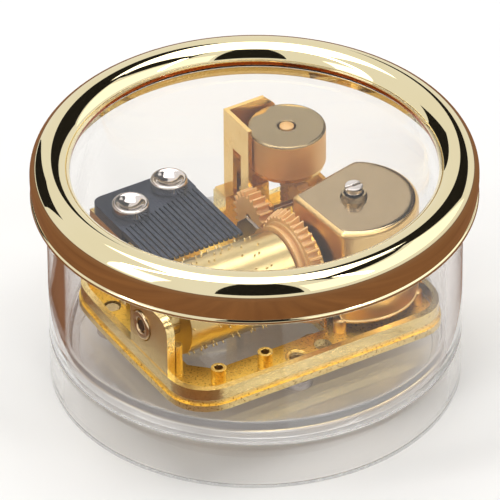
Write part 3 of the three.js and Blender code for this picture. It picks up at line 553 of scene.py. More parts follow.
class Finishes:
    """Every finish of the object."""

    window = ClearPlastic("clear_window", (1.0, 0.995, 0.985), 0.012, ior=1.27)
    wall = ClearPlastic("clear_wall", (0.955, 0.95, 0.945))
    # The tray's darker tint is partly the plastic's own and partly painted shade, for the shadow that the
    # clear pieces don't cast.
    tray = ClearPlastic("clear_tray", (0.87, 0.855, 0.84))
    joint = ClearPlastic("joint_haze", (0.95, 0.94, 0.93), 0.06, clearness=0.62, softness=0.14)
    ring = RingPlating(
        name="ring_plating",
        colour=srgb(238, 226, 188),
        shade=srgb(232, 217, 172),
        # Painted reflection on the inner lip.
        lip=srgb(156, 82, 44),
        lip_reflection_radius=28.715,
        # Painted shade on the window seat under the lip.
        under=srgb(150, 110, 56),
        seat_shade_radius=31.4,
        seat_shade_height=37.7,
        gloss=0.015,
    )
    casting = CastGold(
        name="gold_casting",
        bright=srgb(250, 230, 172),
        deep=srgb(244, 214, 140),
        # Painted bounced light on the web.
        web=srgb(254, 216, 108),
        speck=srgb(176, 132, 62),
        rough_below=14.2,
    )
    sheet = Metal("gold_sheet", srgb(242, 208, 138), srgb(234, 190, 108), 0.2, 0.32)
    # Housing and cup: darker top tone is painted dark reflection, warmer side tone is painted light.
    housing = DrawnSheet("housing_sheet", srgb(168, 147, 115), srgb(234, 198, 136), 30.86, 0.12, 0.26)
    cup = DrawnSheet("cup_sheet", srgb(150, 132, 100), srgb(238, 192, 130), 33.6, 0.04, 0.5)
    drum = Metal("drum_brass", srgb(214, 194, 142), srgb(202, 176, 120), 0.24, 0.34, 9.0, 0.003)
    bush = Metal("bush_brass", srgb(178, 158, 124), srgb(160, 140, 106), 0.14, 0.26)
    grommet = Metal("grommet_brass", srgb(226, 204, 168), srgb(206, 178, 138), 0.14, 0.28)
    steel = Metal("bright_steel", srgb(206, 200, 196), srgb(184, 176, 172), 0.05, 0.14)
    worn_steel = Metal("worn_steel", srgb(158, 148, 140), srgb(120, 108, 98), 0.16, 0.3)
    dark_steel = Metal("dark_steel", srgb(74, 64, 56), srgb(52, 44, 38), 0.3, 0.42)
    spring = Metal("spring_steel", srgb(132, 134, 138), srgb(110, 112, 118), 0.25, 0.4)
    comb = Metal("comb_steel", srgb(74, 78, 90), srgb(58, 63, 76), 0.26, 0.42, 14.0, 0.01, (1.0, 0.1, 1.0))
    amber = MouldedPlastic("amber_plastic", srgb(232, 184, 118), srgb(220, 166, 98), 0.28)


# Mesh making


@dataclass(frozen=True)
class Plan:
    """The movement's plan inside the case."""

    turn_deg: float = 31.0
    corner: Spot = (-24.1, -21.05, 0.0)

    def at(self, p: float = 0.0, q: float = 0.0, height: float = 0.0) -> Matrix:
        """Matrix that stands a piece upright on a point of the plan."""
        plan = Matrix.Rotation(math.radians(self.turn_deg), 4, "Z") @ Matrix.Translation(self.corner)
        return plan @ Matrix.Translation((p, q, height))

    def along_p(self, q: float = 0.0, height: float = 0.0) -> Matrix:
        """Matrix that lays a piece's own upright along p: its x becomes q, its y becomes height."""
        lying = Matrix(((0, 0, 1, 0), (1, 0, 0, 0), (0, 1, 0, 0), (0, 0, 0, 1)))
        return self.at(0.0, q, height) @ lying


PLAN = Plan()


def arc(x: float, y: float, radius: float, start_deg: float, end_deg: float, steps: int = 8) -> list[Point]:
    """Points of an arc about a centre, its ends included."""
    angles = [math.radians(start_deg + (end_deg - start_deg) * step / steps) for step in range(steps + 1)]
    return [(x + radius * math.cos(angle), y + radius * math.sin(angle)) for angle in angles]


def rounded(left: float, right: float, low: float, high: float, edge: float) -> list[Point]:
    """Outline of an upright box with rounded corners, from its lower left one on.

    Args:
        left: Its least first coordinate.
        right: Its greatest first coordinate.
        low: Its least second coordinate.
        high: Its greatest second coordinate.
        edge: Radius of its corners.

    Returns:
        The outline's points.
    """
    points = arc(left + edge, low + edge, edge, 180, 270, 4)
    points += arc(right - edge, low + edge, edge, 270, 360, 4)
    points += arc(right - edge, high - edge, edge, 0, 90, 4)
    return points + arc(left + edge, high - edge, edge, 90, 180, 4)


def around(radius: float, height: float, count: int) -> list[Spot]:
    """Points evenly round the upright axis."""
    angles = [FULL_TURN * step / count for step in range(count)]
    return [(radius * math.cos(angle), radius * math.sin(angle), height) for angle in angles]


def level(outline: Iterable[Point], height: float) -> list[Spot]:
    """An outline's points at one height."""
    return [(x, y, height) for x, y in outline]


def toothed(teeth: int, rows: Sequence[Point], start_deg: float = 0.0) -> list[Point]:
    """Outline of a tooth ring.

    Args:
        teeth: Number of teeth.
        rows: Share of a tooth's half angle and radius, from the crest inwards.
        start_deg: Direction of the first tooth.

    Returns:
        The outline's points.
    """
    half = math.pi / teeth
    sides = [(-share, radius) for share, radius in reversed(rows)] + list(rows)
    points = []
    for tooth in range(teeth):
        for share, radius in sides:
            angle = math.radians(start_deg) + half * (2 * tooth + share)
            points.append((radius * math.cos(angle), radius * math.sin(angle)))
    return points


def smooth_shading() -> bpy.types.NodeTree:
    """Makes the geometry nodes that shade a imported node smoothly, once.

    Returns:
        Their node tree.
    """
    name = "smooth_shading"
    if name in bpy.data.node_groups:
        return bpy.data.node_groups[name]
    tree = bpy.data.node_groups.new(name, "GeometryNodeTree")
    for way in ("INPUT", "OUTPUT"):
        tree.interface.new_socket("Geometry", in_out=way, socket_type="NodeSocketGeometry")
    kinds = ("NodeGroupInput", "GeometryNodeSetShadeSmooth", "NodeGroupOutput")
    nodes = [tree.nodes.new(kind) for kind in kinds]
    for first, second in zip(nodes, nodes[1:]):
        tree.links.new(first.outputs[0], second.inputs[0])
    return tree


def soften(piece: bpy.types.Object, width: float, segments: int = 2, angle_deg: float = 32.0) -> None:
    """Rounds a piece's sharp edges.

    Args:
        piece: The piece.
        width: Edge rounding in millimetres.
        segments: Steps of the rounding.
        angle_deg: Least angle of an edge that is rounded.
    """
    if width > 0:
        bevel = piece.modifiers.new("rounded_edges", "BEVEL")
        bevel.width = width * MM
        bevel.segments = segments
        bevel.limit_method = "ANGLE"
        bevel.angle_limit = math.radians(angle_deg)
        bevel.use_clamp_overlap = True
    even = piece.modifiers.new("even_normals", "WEIGHTED_NORMAL")
    even.mode = "FACE_AREA"
    even.keep_sharp = False


def dress(finish: Finish, segments: int = 2, **widths: float) -> None:
    """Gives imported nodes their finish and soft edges.

    Args:
        finish: Their finish.
        segments: Steps of the edge rounding.
        widths: Edge rounding in millimetres of each node, by its name.
    """
    for name, width in widths.items():
        piece = frame["nodes"][name]
        piece.data.materials.clear()
        piece.data.materials.append(finish.material())
        weld = piece.modifiers.new("joined_corners", "WELD")
        weld.merge_threshold = TINY
        flat = piece.modifiers.new("whole_faces", "DECIMATE")
        flat.decimate_type = "DISSOLVE"
        flat.angle_limit = math.radians(FLAT_DEG)
        smooth = piece.modifiers.new("smooth_shading", "NODES")
        smooth.node_group = smooth_shading()
        soften(piece, width, segments)
        LOG.info("dressed %s in %s", name, finish.name)


def show_mesh(name: str, mesh: bmesh.types.BMesh, material: bpy.types.Material) -> bpy.types.Object:
    """Turns a mesh into an object of the scene.

    Args:
        name: The object's name.
        mesh: The mesh, which is used up.
        material: Its material.

    Returns:
        The new object.
    """
    data = bpy.data.meshes.new(name)
    mesh.to_mesh(data)
    mesh.free()
    data.materials.append(material)
    shown = bpy.data.objects.new(name, data)
    bpy.context.scene.collection.objects.link(shown)
    return shown


class Form:
    """A mesh under construction, in millimetres."""

    def __init__(self) -> None:
        """Starts an empty mesh."""
        self.mesh = bmesh.new()

    def ring(self, points: Iterable[Spot], place: Matrix) -> Ring:
        """Adds points as a ring of vertices."""
        return [self.mesh.verts.new(place @ Vector(point)) for point in points]

    def band(self, lower: Ring, upper: Ring) -> None:
        """Joins two rings by faces; a ring of one vertex is a pole.

        Args:
            lower: The first ring.
            upper: The second ring.
        """
        count = max(len(lower), len(upper))
        for index in range(count):
            after = (index + 1) % count
            corners = [lower[index % len(lower)], lower[after % len(lower)]]
            corners += [upper[after % len(upper)], upper[index % len(upper)]]
            self.mesh.faces.new(list(dict.fromkeys(corners)))

    def turned(self, profile: Sequence[Point], segments: int, place: Matrix = Matrix()) -> "Form":
        """Adds a body of revolution.

        Args:
            profile: Radius and height of each point; it ends on the axis twice, or closes on itself.
            segments: Faces round the axis.
            place: Where the body stands.

        Returns:
            This form.
        """
        rings = []
        for radius, height in profile:
            spots = [(0.0, 0.0, height)] if radius < TINY else around(radius, height, segments)
            rings.append(self.ring(spots, place))
        pairs = list(zip(rings, rings[1:]))
        if profile[0][0] >= TINY:
            pairs.append((rings[-1], rings[0]))
        for lower, upper in pairs:
            self.band(lower, upper)
        return self

    def lofted(self, levels: Sequence[Sequence[Spot]], place: Matrix, closed: bool = False) -> "Form":
        """Adds a skin over rings of equal count.

        Args:
            levels: Points of each ring.
            place: Where the skin stands.
            closed: Whether the last ring joins the first; otherwise both ends are capped.

        Returns:
            This form.
        """
        rings = [self.ring(points, place) for points in levels]
        for lower, upper in zip(rings, rings[1:]):
            self.band(lower, upper)
        if closed:
            self.band(rings[-1], rings[0])
        else:
            self.mesh.faces.new(list(reversed(rings[0])))
            self.mesh.faces.new(rings[-1])
        return self

    def prism(self, outline: Sequence[Point], low: float, high: float, place: Matrix) -> "Form":
        """Adds an upright prism over an outline."""
        return self.lofted([level(outline, low), level(outline, high)], place)

    def piece(
        self,
        name: str,
        finish: Finish,
        body: Body,
        slot: str,
        replaces: Sequence[str] = (),
        width: float = 0.0,
    ) -> bpy.types.Object:
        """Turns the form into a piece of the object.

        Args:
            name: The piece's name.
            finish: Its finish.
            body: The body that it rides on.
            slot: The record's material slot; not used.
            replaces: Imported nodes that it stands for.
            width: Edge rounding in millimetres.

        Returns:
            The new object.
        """
        bmesh.ops.recalc_face_normals(self.mesh, faces=self.mesh.faces)
        bmesh.ops.scale(self.mesh, vec=(MM, MM, MM), verts=self.mesh.verts)
        piece = show_mesh(name, self.mesh, finish.material())
        piece.data.shade_smooth()
        soften(piece, width)
        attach(piece, body.value)
        if replaces:
            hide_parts(*replaces)
        LOG.info("made %s on %s", name, body.value)
        return piece


def haze_between(piece: bpy.types.Object, low: float, high: float, inner: float) -> None:
    """Gives the faces of a joint their own, hazy finish.

    Args:
        piece: The clear piece.
        low: Least height of the joint in millimetres.
        high: Greatest height of the joint.
        inner: Radius inside which nothing changes.
    """
    piece.data.materials.append(Finishes.joint.material())
    for face in piece.data.polygons:
        centre = face.center / MM
        if low < centre.z < high and math.hypot(centre.x, centre.y) > inner:
            face.material_index = 1


# Sub-assemblies


@dataclass
class ClearCase:
    """Base tray, wall and window of clear plastic."""

    outer_radius: float = 32.5
    wall: float = 2.5
    wall_foot: float = 8.7
    wall_top: float = 35.8
    joint_gap: float = 0.12
    skirt: float = 2.1
    haunch: float = 2.8
    floor_under: float = 9.1
    floor_top: float = 11.5
    plug_gap: float = 0.25
    edge: float = 0.35
    boss_radius: float = 3.2
    boss_top: float = 12.28
    window_radius: float = 30.8
    window_foot: float = 36.05
    window_top: float = 37.55
    segments: int = 192
    boss_segments: int = 32

    def build(self) -> None:
        """Builds the three clear pieces, which don't shade what stands inside them."""
        for piece in (self.tray(), self.shell(), self.window()):
            piece.visible_shadow = False
            piece.visible_diffuse = False

    def tray(self) -> bpy.types.Object:
        """Floor with its skirt and screw bosses.

        Returns:
            The new piece.
        """
        edge = self.edge
        inner = self.outer_radius - self.skirt
        plug = self.outer_radius - self.wall - self.plug_gap
        shoulder = self.wall_foot - self.joint_gap
        profile = [(0.0, self.floor_under), (inner - self.haunch, self.floor_under)]
        profile += arc(inner - self.haunch, self.floor_under - self.haunch, self.haunch, 90, 0)
        profile += arc(inner + edge, edge, edge, 180, 270, 4)
        profile += arc(self.outer_radius - edge, edge, edge, 270, 360, 4)
        profile += arc(self.outer_radius - edge, shoulder - edge, edge, 0, 90, 4)
        profile += [(plug, shoulder)]
        profile += arc(plug - edge, self.floor_top - edge, edge, 0, 90, 4)
        profile += [(0.0, self.floor_top)]
        form = Form().turned(profile, self.segments)
        for p, q in Bedplate().screw_places:
            boss = [(0.0, self.floor_top + TINY), (self.boss_radius, self.floor_top + TINY)]
            boss += arc(self.boss_radius - edge, self.boss_top - edge, edge, 0, 90, 3)
            boss += [(0.0, self.boss_top)]
            form.turned(boss, self.boss_segments, PLAN.at(p, q))
        tray = form.piece("tray_clear", Finishes.tray, Body.CASE, "clear_case", ["base_tray"])
        haze_between(tray, shoulder + edge / 2, self.floor_top, plug - edge)
        return tray

    def shell(self) -> bpy.types.Object:
        """Upright wall.

        Returns:
            The new piece.
        """
        inner, foot = self.outer_radius - self.wall, self.wall_foot
        outline = rounded(inner, self.outer_radius, foot, self.wall_top, self.edge)
        form = Form().turned(outline, self.segments)
        wall = form.piece("wall_clear", Finishes.wall, Body.CASE, "clear_case", ["case_wall"])
        haze_between(wall, foot - self.edge, foot + self.edge / 2, inner / 2)
        return wall

    def window(self) -> bpy.types.Object:
        """Flat pane in the lid.

        Returns:
            The new piece.
        """
        edge = self.edge / 2
        profile = [(0.0, self.window_foot)]
        profile += arc(self.window_radius - edge, self.window_foot + edge, edge, -90, 0, 3)
        profile += arc(self.window_radius - edge, self.window_top - edge, edge, 0, 90, 3)
        profile += [(0.0, self.window_top)]
        form = Form().turned(profile, self.segments)
        return form.piece("window_clear", Finishes.window, Body.LID, "clear_case", ["lid_window"])


@dataclass
class PlatedRing:
    """Mirror ring of the lid."""

    outer_radius: float = 35.0
    bore: float = 32.75
    foot: float = 33.1
    top: float = 40.5
    bead: float = 0.5
    bead_deg: float = 65.0
    bead_steps: int = 10
    side_set: float = 0.24
    side_gap: float = 0.4
    side_steps: int = 6
    side_beads: Point = (2.2, 2.6)
    shoulder: float = 3.1
    shoulder_degs: Point = (4.0, 88.0)
    shoulder_steps: int = 26
    peak_radius: float = 31.95
    inner_drop: float = 2.5
    inner_steps: int = 22
    lip_deg: float = 84.0
    ledge_radius: float = 28.7
    ledge: float = 0.1
    seat: float = 37.55
    seat_radius: float = 31.05
    seat_top: float = 35.8
    edge: float = 0.05
    segments: int = 256

    def build(self) -> None:
        """Builds the ring as one turned piece."""
        bead, bend = self.bead, self.shoulder
        profile = [(self.bore, self.foot)]
        profile += arc(self.outer_radius - bead, self.foot + bead, bead, -90, self.bead_deg, self.bead_steps)
        profile += [(self.outer_radius - self.side_set, self.foot + self.side_beads[0] * bead)]
        profile += self.side()
        steps = self.shoulder_steps
        profile += arc(self.outer_radius - bend, self.top - bend, bend, *self.shoulder_degs, steps)
        profile += self.inner_side()
        profile += [(self.ledge_radius, self.seat + self.ledge), (self.ledge_radius + self.ledge, self.seat)]
        profile += [(self.seat_radius, self.seat)]
        profile += [(self.seat_radius, self.seat_top), (self.bore, self.seat_top)]
        form = Form().turned(profile, self.segments)
        form.piece("ring_bright", Finishes.ring, Body.LID, "plated_ring", ["bezel_ring"], self.edge)

    def inner_side(self) -> list[Point]:
        """Quarter of an ellipse from the peak down to the lip.

        Returns:
            Its points.
        """
        reach = self.peak_radius - self.ledge_radius
        circle = arc(0.0, 0.0, 1.0, 90, 90 + self.lip_deg, self.inner_steps)
        return [(self.peak_radius + reach * x, self.top - self.inner_drop * (1 - y)) for x, y in circle]

    def side(self) -> list[Point]:
        """Slightly crowned side between the bead and the shoulder.

        Returns:
            Its points.
        """
        low = self.foot + self.side_beads[1] * self.bead
        high = self.top - self.shoulder - self.side_gap
        points = []
        for share in [step / self.side_steps for step in range(self.side_steps + 1)]:
            inset = self.side_set * (1 - share) ** 2
            points.append((self.outer_radius - inset, low + (high - low) * share))
        return points


@dataclass
class Bedplate:
    """Gold casting that carries the movement, with its grommet and bearing plate."""

    screw_places: Sequence[Point] = ((21.5, 4.5), (3.9, 31.0), (44.3, 31.0))
    web_top: float = 13.62
    thread_radius: float = 1.62
    thread_mouth: float = 0.22
    mouth_degs: Point = (-30.0, 300.0)
    mouth_steps: int = 11
    thread_turn: float = 0.11
    thread_turns: int = 3
    turn_pitch: float = 2.2
    turn_deg: float = 320.0
    grommet_radius: float = 2.4
    grommet_bore: float = 1.25
    grommet_left: float = 0.1
    grommet_right: float = 2.1
    grommet_lip: float = 0.35
    mouth_segments: int = 48
    segments: int = 40

    def build(self) -> None:
        """Dresses the casting and what is fixed in it."""
        dress(Finishes.casting, 3, bedplate=0.16)
        dress(Finishes.sheet, cylinder_bearing_plate=0.1)
        dress(Finishes.steel, mounting_screw_front=0.12, mounting_screw_left=0.12, mounting_screw_right=0.12)
        self.grommet()
        self.thread()

    def thread(self) -> None:
        """Rolled mouth and first turns of the threaded hole in the web."""
        place = PLAN.at(*self.screw_places[0])
        mouth, turn = self.thread_mouth, self.thread_turn
        rim = arc(self.thread_radius, self.web_top, mouth, *self.mouth_degs, self.mouth_steps)
        form = Form().turned(rim, self.mouth_segments, place)
        for step in range(self.thread_turns):
            inner = self.thread_radius - mouth - turn / 2
            height = self.web_top - turn / 2 - self.turn_pitch * turn * step
            form.turned(arc(inner, height, turn, 0, self.turn_deg), self.segments, place)
        form.piece("thread_mouth", Finishes.casting, Body.CASE, "gold_casting")

    def grommet(self) -> None:
        """Bright bush in the end wall, with a rolled lip on both sides."""
        ends = self.grommet_left, self.grommet_right
        outline = rounded(self.grommet_bore, self.grommet_radius, *ends, self.grommet_lip)
        form = Form().turned(outline, self.segments, Cylinder().place())
        form.piece("grommet_worn", Finishes.grommet, Body.CASE, "bright_steel", ["end_grommet"])


@dataclass
class Comb:
    """Steel comb with its two screws and the steel leaf beside its last tooth."""

    top: float = 26.8
    head_radius: float = 2.95
    head_height: float = 1.7
    head_rim: float = 0.4
    head_foot: float = 0.15
    rim_steps: int = 5
    dish: float = 0.75
    dish_power: float = 2.2
    dish_drop: float = 0.03
    dish_steps: int = 8
    dish_rims: float = 1.7
    segments: int = 48
    shank_radius: float = 1.3
    shank_length: float = 5.0
    places: Sequence[tuple[str, float, float]] = (("left", 9.3, 34.1), ("right", 17.8, 36.6))
    leaf_left: float = 23.6
    leaf_right: float = 24.15
    leaf_tip_q: float = 19.55
    leaf_crest_q: float = 23.0
    leaf_back_q: float = 26.2
    leaf_front_q: float = 24.75
    leaf_clear: float = 7.1
    leaf_degs: Point = (28.0, 48.0)
    leaf_steps: int = 5
    leaf_bend: float = 0.6
    leaf_overlap: float = 0.1
    leaf_edge: float = 0.07
    leaf_foot: float = 13.6
    leaf_reach: float = 26.0
    leaf_sole: float = 0.45
    leaf_drops: Sequence[float] = (2.4, 5.0, 5.5)

    def build(self) -> None:
        """Dresses the comb and builds its screws and the leaf."""
        dress(Finishes.comb, comb=0.05)
        for name, p, q in self.places:
            self.screw(name, p, q)
        self.leaf()

    def leaf(self) -> None:
        """Bent steel leaf that stands on the web and reaches over the drum's back."""
        drum = Cylinder()
        front, back = self.leaf_front_q, self.leaf_back_q
        first, second, under = (self.top - drop for drop in self.leaf_drops)
        outline = [(self.leaf_tip_q, self.top), (self.leaf_crest_q, self.top)]
        outline += [(back - self.leaf_bend, first)]
        outline += [(back, second), (back, self.leaf_foot), (front, self.leaf_foot), (front, under)]
        outline += arc(drum.axis_q, drum.axis_height, self.leaf_clear, *self.leaf_degs, self.leaf_steps)
        form = Form().prism(outline, self.leaf_left, self.leaf_right, PLAN.along_p())
        left, right = self.leaf_right - self.leaf_overlap, self.leaf_reach
        sole = [(left, front), (right, front), (right, back), (left, back)]
        form.prism(sole, self.leaf_foot, self.leaf_foot + self.leaf_sole, PLAN.at())
        form.piece("comb_leaf", Finishes.worn_steel, Body.CASE, "bright_steel", width=self.leaf_edge)

    def screw(self, name: str, p: float, q: float) -> None:
        """One screw with a dished head.

        Args:
            name: Its side.
            p: Its place along p.
            q: Its place along q.
        """
        head, rim, foot = self.head_radius, self.head_rim, self.head_foot
        low, high = self.top - self.shank_length, self.top + self.head_height
        profile = [(0.0, low), (self.shank_radius, low), (self.shank_radius, self.top)]
        profile += [(head - foot, self.top), (head, self.top + foot)]
        profile += arc(head - rim, high - rim, rim, 0, 90, self.rim_steps)
        inner = head - self.dish_rims * rim
        for step in range(self.dish_steps + 1):
            share = 1 - step / self.dish_steps
            sunk = self.dish * (1 - share**self.dish_power)
            profile.append((inner * share, high - sunk - self.dish_drop))
        form = Form().turned(profile, self.segments, PLAN.at(p, q))
        replaced = f"comb_screw_{name}"
        form.piece(f"{replaced}_bright", Finishes.steel, Body.CASE, "bright_steel", [replaced])


@dataclass
class Cylinder:
    """Pinned cylinder with its gear and arbor."""

    axis_q: float = 15.0
    axis_height: float = 21.3
    drum_radius: float = 6.4
    drum_left: float = 5.4
    drum_right: float = 24.8
    drum_edge: float = 0.15
    bore: float = 1.15
    hub_left: float = 3.8
    hub_radius: float = 3.1
    hub_ribs: int = 12
    rib_depth: float = 0.35
    rib_shares: Point = (0.36, 0.62)
    rib_inset: float = 0.2
    rib_sink: float = 0.1
    comb_left: float = 5.4
    comb_right: float = 21.4
    tracks: int = 18
    pins_per_track: int = 9
    pin_radius: float = 0.17
    pin_height: float = 0.45
    pin_sink: float = 0.2
    pin_tip: float = 0.1
    pin_tip_share: float = 0.6
    pin_sides: int = 6
    pin_spread: float = 0.8
    track_stride: float = 0.618
    pin_stride: float = 0.271
    collar_gap: float = 0.25
    collar_width: float = 0.6
    collar_radius: float = 7.0
    flange_gap: float = 0.3
    groove_radius: float = 6.5
    flange_radius: float = 7.35
    gear_teeth: int = 42
    gear_tip: float = 9.0
    gear_root: float = 7.9
    gear_left: float = 26.5
    gear_right: float = 28.7
    crest_drop: float = 0.75
    tooth_shares: Point = (0.22, 0.56)
    crown_inset: float = 0.5
    crown_inner: float = 5.8
    crown_sink: float = 0.3
    crown_depth: float = 0.9
    crown_shares: Point = (0.2, 0.42)
    mesh_deg: float = 4.8945
    drum_segments: int = 128
    gear_segments: int = 96

    def build(self) -> None:
        """Builds the drum and the gear and dresses the arbor."""
        dress(Finishes.dark_steel, cylinder_arbor=0.1)
        self.drum()
        self.gear()

    def place(self) -> Matrix:
        """The cylinder's axis."""
        return PLAN.along_p(self.axis_q, self.axis_height)

    def drum(self) -> None:
        """Drum with its ribbed hub and rows of pins."""
        edge = self.drum_edge
        hub = self.hub_radius - self.rib_depth
        profile = [(self.bore, self.hub_left), (hub, self.hub_left), (hub, self.drum_left)]
        profile += arc(self.drum_radius - edge, self.drum_left + edge, edge, 270, 360, 3)
        profile += arc(self.drum_radius - edge, self.drum_right - edge, edge, 0, 90, 3)
        profile += [(self.bore, self.drum_right)]
        form = Form().turned(profile, self.drum_segments, self.place())
        crest, root = self.rib_shares
        ribs = [(crest, self.hub_radius), (root, self.hub_radius - 2 * self.rib_depth)]
        ends = self.hub_left + self.rib_inset, self.drum_left + self.rib_sink
        form.prism(toothed(self.hub_ribs, ribs), *ends, self.place())
        self.pins(form)
        form.piece("drum_pinned", Finishes.drum, Body.CYLINDER, "pale_brass", ["pinned_cylinder"], 0.03)

    def pins(self, form: Form) -> None:
        """Short pins in one row for each comb tooth.

        Args:
            form: The drum's form.
        """
        lying = self.place()
        pitch = (self.comb_right - self.comb_left) / self.tracks
        profile = [(0.0, -self.pin_sink), (self.pin_radius, -self.pin_sink)]
        profile += [(self.pin_radius, self.pin_height - self.pin_tip)]
        profile += [(self.pin_tip_share * self.pin_radius, self.pin_height), (0.0, self.pin_height)]
        for track in range(self.tracks):
            along = self.comb_left + pitch * (track + 0.5)
            for pin in range(self.pins_per_track):
                jitter = (track * self.track_stride + pin * pin * self.pin_stride) % 1.0
                turn = FULL_TURN * (pin + self.pin_spread * jitter) / self.pins_per_track
                turn += track * self.track_stride
                out = Matrix.Rotation(turn, 4, "Z") @ Matrix.Translation((self.drum_radius, 0, along))
                form.turned(profile, self.pin_sides, lying @ out @ Matrix.Rotation(math.pi / 2, 4, "Y"))

    def teeth(self, tip: float, shares: Point, root: float) -> list[Point]:
        """Outline of one row of the gear's teeth."""
        return toothed(self.gear_teeth, [(shares[0], tip), (shares[1], root)], self.mesh_deg)

    def gear(self) -> None:
        """Collars, slanting teeth and crown teeth."""
        left, groove_end = self.drum_right + self.collar_gap, self.gear_left - self.flange_gap
        collar_end, flange_end = left + self.collar_width, self.gear_left + self.collar_width
        profile = [(self.bore, left), (self.collar_radius, left), (self.collar_radius, collar_end)]
        profile += [(self.groove_radius, collar_end), (self.groove_radius, groove_end)]
        profile += [(self.flange_radius, groove_end), (self.flange_radius, flange_end)]
        form = Form().turned([*profile, (self.bore, flange_end)], self.gear_segments, self.place())
        tip = self.gear_tip - self.crest_drop
        low = self.teeth(tip, self.tooth_shares, self.gear_root)
        high = self.teeth(self.gear_tip, self.tooth_shares, self.gear_root)
        crown = self.teeth(tip - self.crown_inset, self.crown_shares, self.crown_inner)
        flat, foot = self.gear_right - self.crown_sink, self.gear_right - self.crown_depth - self.crown_sink
        rows = ((low, high, self.gear_left, flat), (crown, crown, foot, self.gear_right))
        for lower, upper, under, over in rows:
            inner = [(x * self.bore / math.hypot(x, y), y * self.bore / math.hypot(x, y)) for x, y in upper]
            levels = [level(lower, under), level(upper, over), level(inner, over), level(inner, under)]
            form.lofted(levels, self.place(), closed=True)
        form.piece("gear_amber", Finishes.amber, Body.CYLINDER, "amber_plastic", ["cylinder_gear"], 0.07)


@dataclass
class SpringHousing:
    """Cover of the mainspring with what turns on the winding arbor."""

    p: float = 37.9
    q: float = 14.0
    radius: float = 10.2
    foot: float = 15.3
    foot_rise: float = 1.3
    round_reach: float = 10.05
    blend: float = 0.55
    lip: float = 0.22
    lip_steps: int = 6
    top: float = 31.0
    round: float = 1.1
    wall: float = 0.8
    inner_round: float = 1.0
    flat_inset: float = 0.5
    bore: float = 1.65
    bore_edge: Point = (0.3, 0.1)
    flats: Sequence[Point] = ((7.4, 184.0), (7.25, 103.0))
    flat_reach: float = 0.2
    corner: float = 0.45
    corner_share: float = 0.4
    leg_ring: float = 10.0
    leg_radius: float = 1.1
    leg_degs: Sequence[float] = (225.0, 315.0, 45.0)
    leg_foot: float = 13.6
    leg_join: float = 0.4
    leg_segments: int = 24
    points: int = 180

    def build(self) -> None:
        """Builds the cover and dresses the winding work."""
        self.cover()
        dress(Finishes.spring, mainspring=0.0, click=0.05, ratchet_wheel=0.05)
        dress(Finishes.steel, winding_arbor=0.12)
        dress(Finishes.steel, 3, arbor_screw=0.14)
        dress(Finishes.bush, arbor_bush=0.12)
        dress(Finishes.drum, main_wheel=0.05)
        dress(Finishes.sheet, 3, winding_key=0.2)

    def reach(self, angle: float, inset: float) -> float:
        """Distance from the centre to the outline, which is soft at its corners.

        Args:
            angle: Direction in radians.
            inset: Distance by which the outline is drawn in.

        Returns:
            The distance.
        """
        limits = [self.radius - inset]
        for flat, degrees in self.flats:
            across = math.cos(angle - math.radians(degrees))
            if across > self.flat_reach:
                limits.append((flat - inset) / across)
        sharp = min(limits)
        softness = sum(math.exp((sharp - limit) / self.corner) for limit in limits)
        return sharp - self.corner * self.corner_share * math.log(softness)

    def rise(self, angle: float) -> float:
        """Height by which the foot stays up over the click, where the flats come near the axis."""
        share = (self.round_reach - self.reach(angle, 0.0)) / self.blend
        return self.foot_rise * min(max(share, 0.0), 1.0)

    def skin(self, inset: float, height: float, foot: bool = False) -> list[Spot]:
        """One ring of the cover's skin.

        Args:
            inset: Distance by which it is drawn in.
            height: Its height.
            foot: Whether it belongs to the foot, which rises at the flats.

        Returns:
            The ring's points.
        """
        ring = []
        for step in range(self.points):
            angle = FULL_TURN * step / self.points
            reach = self.reach(angle, inset)
            lift = self.rise(angle) if foot else 0.0
            ring.append((reach * math.cos(angle), reach * math.sin(angle), height + lift))
        return ring

    def cover(self) -> None:
        """Cover with a rolled edge, open below, on three legs."""
        top, under, bore, edge = self.top, self.top - self.wall, self.bore, self.bore_edge
        lip = arc(0.0, self.foot + self.lip, self.lip, -90, 90, self.lip_steps)
        levels = [self.skin(-out, height, True) for out, height in lip]
        levels.append(self.skin(0.0, self.foot + 3 * self.lip, True))
        bend = arc(self.round, top - self.round, self.round, 180, 90)
        bend.append((self.round + self.flat_inset, top))
        levels += [self.skin(inset, height) for inset, height in bend]
        for radius, height in ((bore + edge[0], top), (bore, top - edge[1]), (bore, under)):
            levels.append(around(radius, height, self.points))
        for inset, height in ((self.wall + self.inner_round, under), (self.wall, under - self.inner_round)):
            levels.append(self.skin(inset, height))
        levels.append(self.skin(self.wall, self.foot, True))
        form = Form().lofted(levels, PLAN.at(self.p, self.q), closed=True)
        head = self.foot + self.leg_join
        leg = [(0.0, self.leg_foot), (self.leg_radius, self.leg_foot), (self.leg_radius, head), (0.0, head)]
        for degrees in self.leg_degs:
            angle = math.radians(degrees)
            p, q = self.p + self.leg_ring * math.cos(angle), self.q + self.leg_ring * math.sin(angle)
            form.turned(leg, self.leg_segments, PLAN.at(p, q))
        form.piece("housing_cover", Finishes.housing, Body.CASE, "gold_sheet", ["spring_housing"])


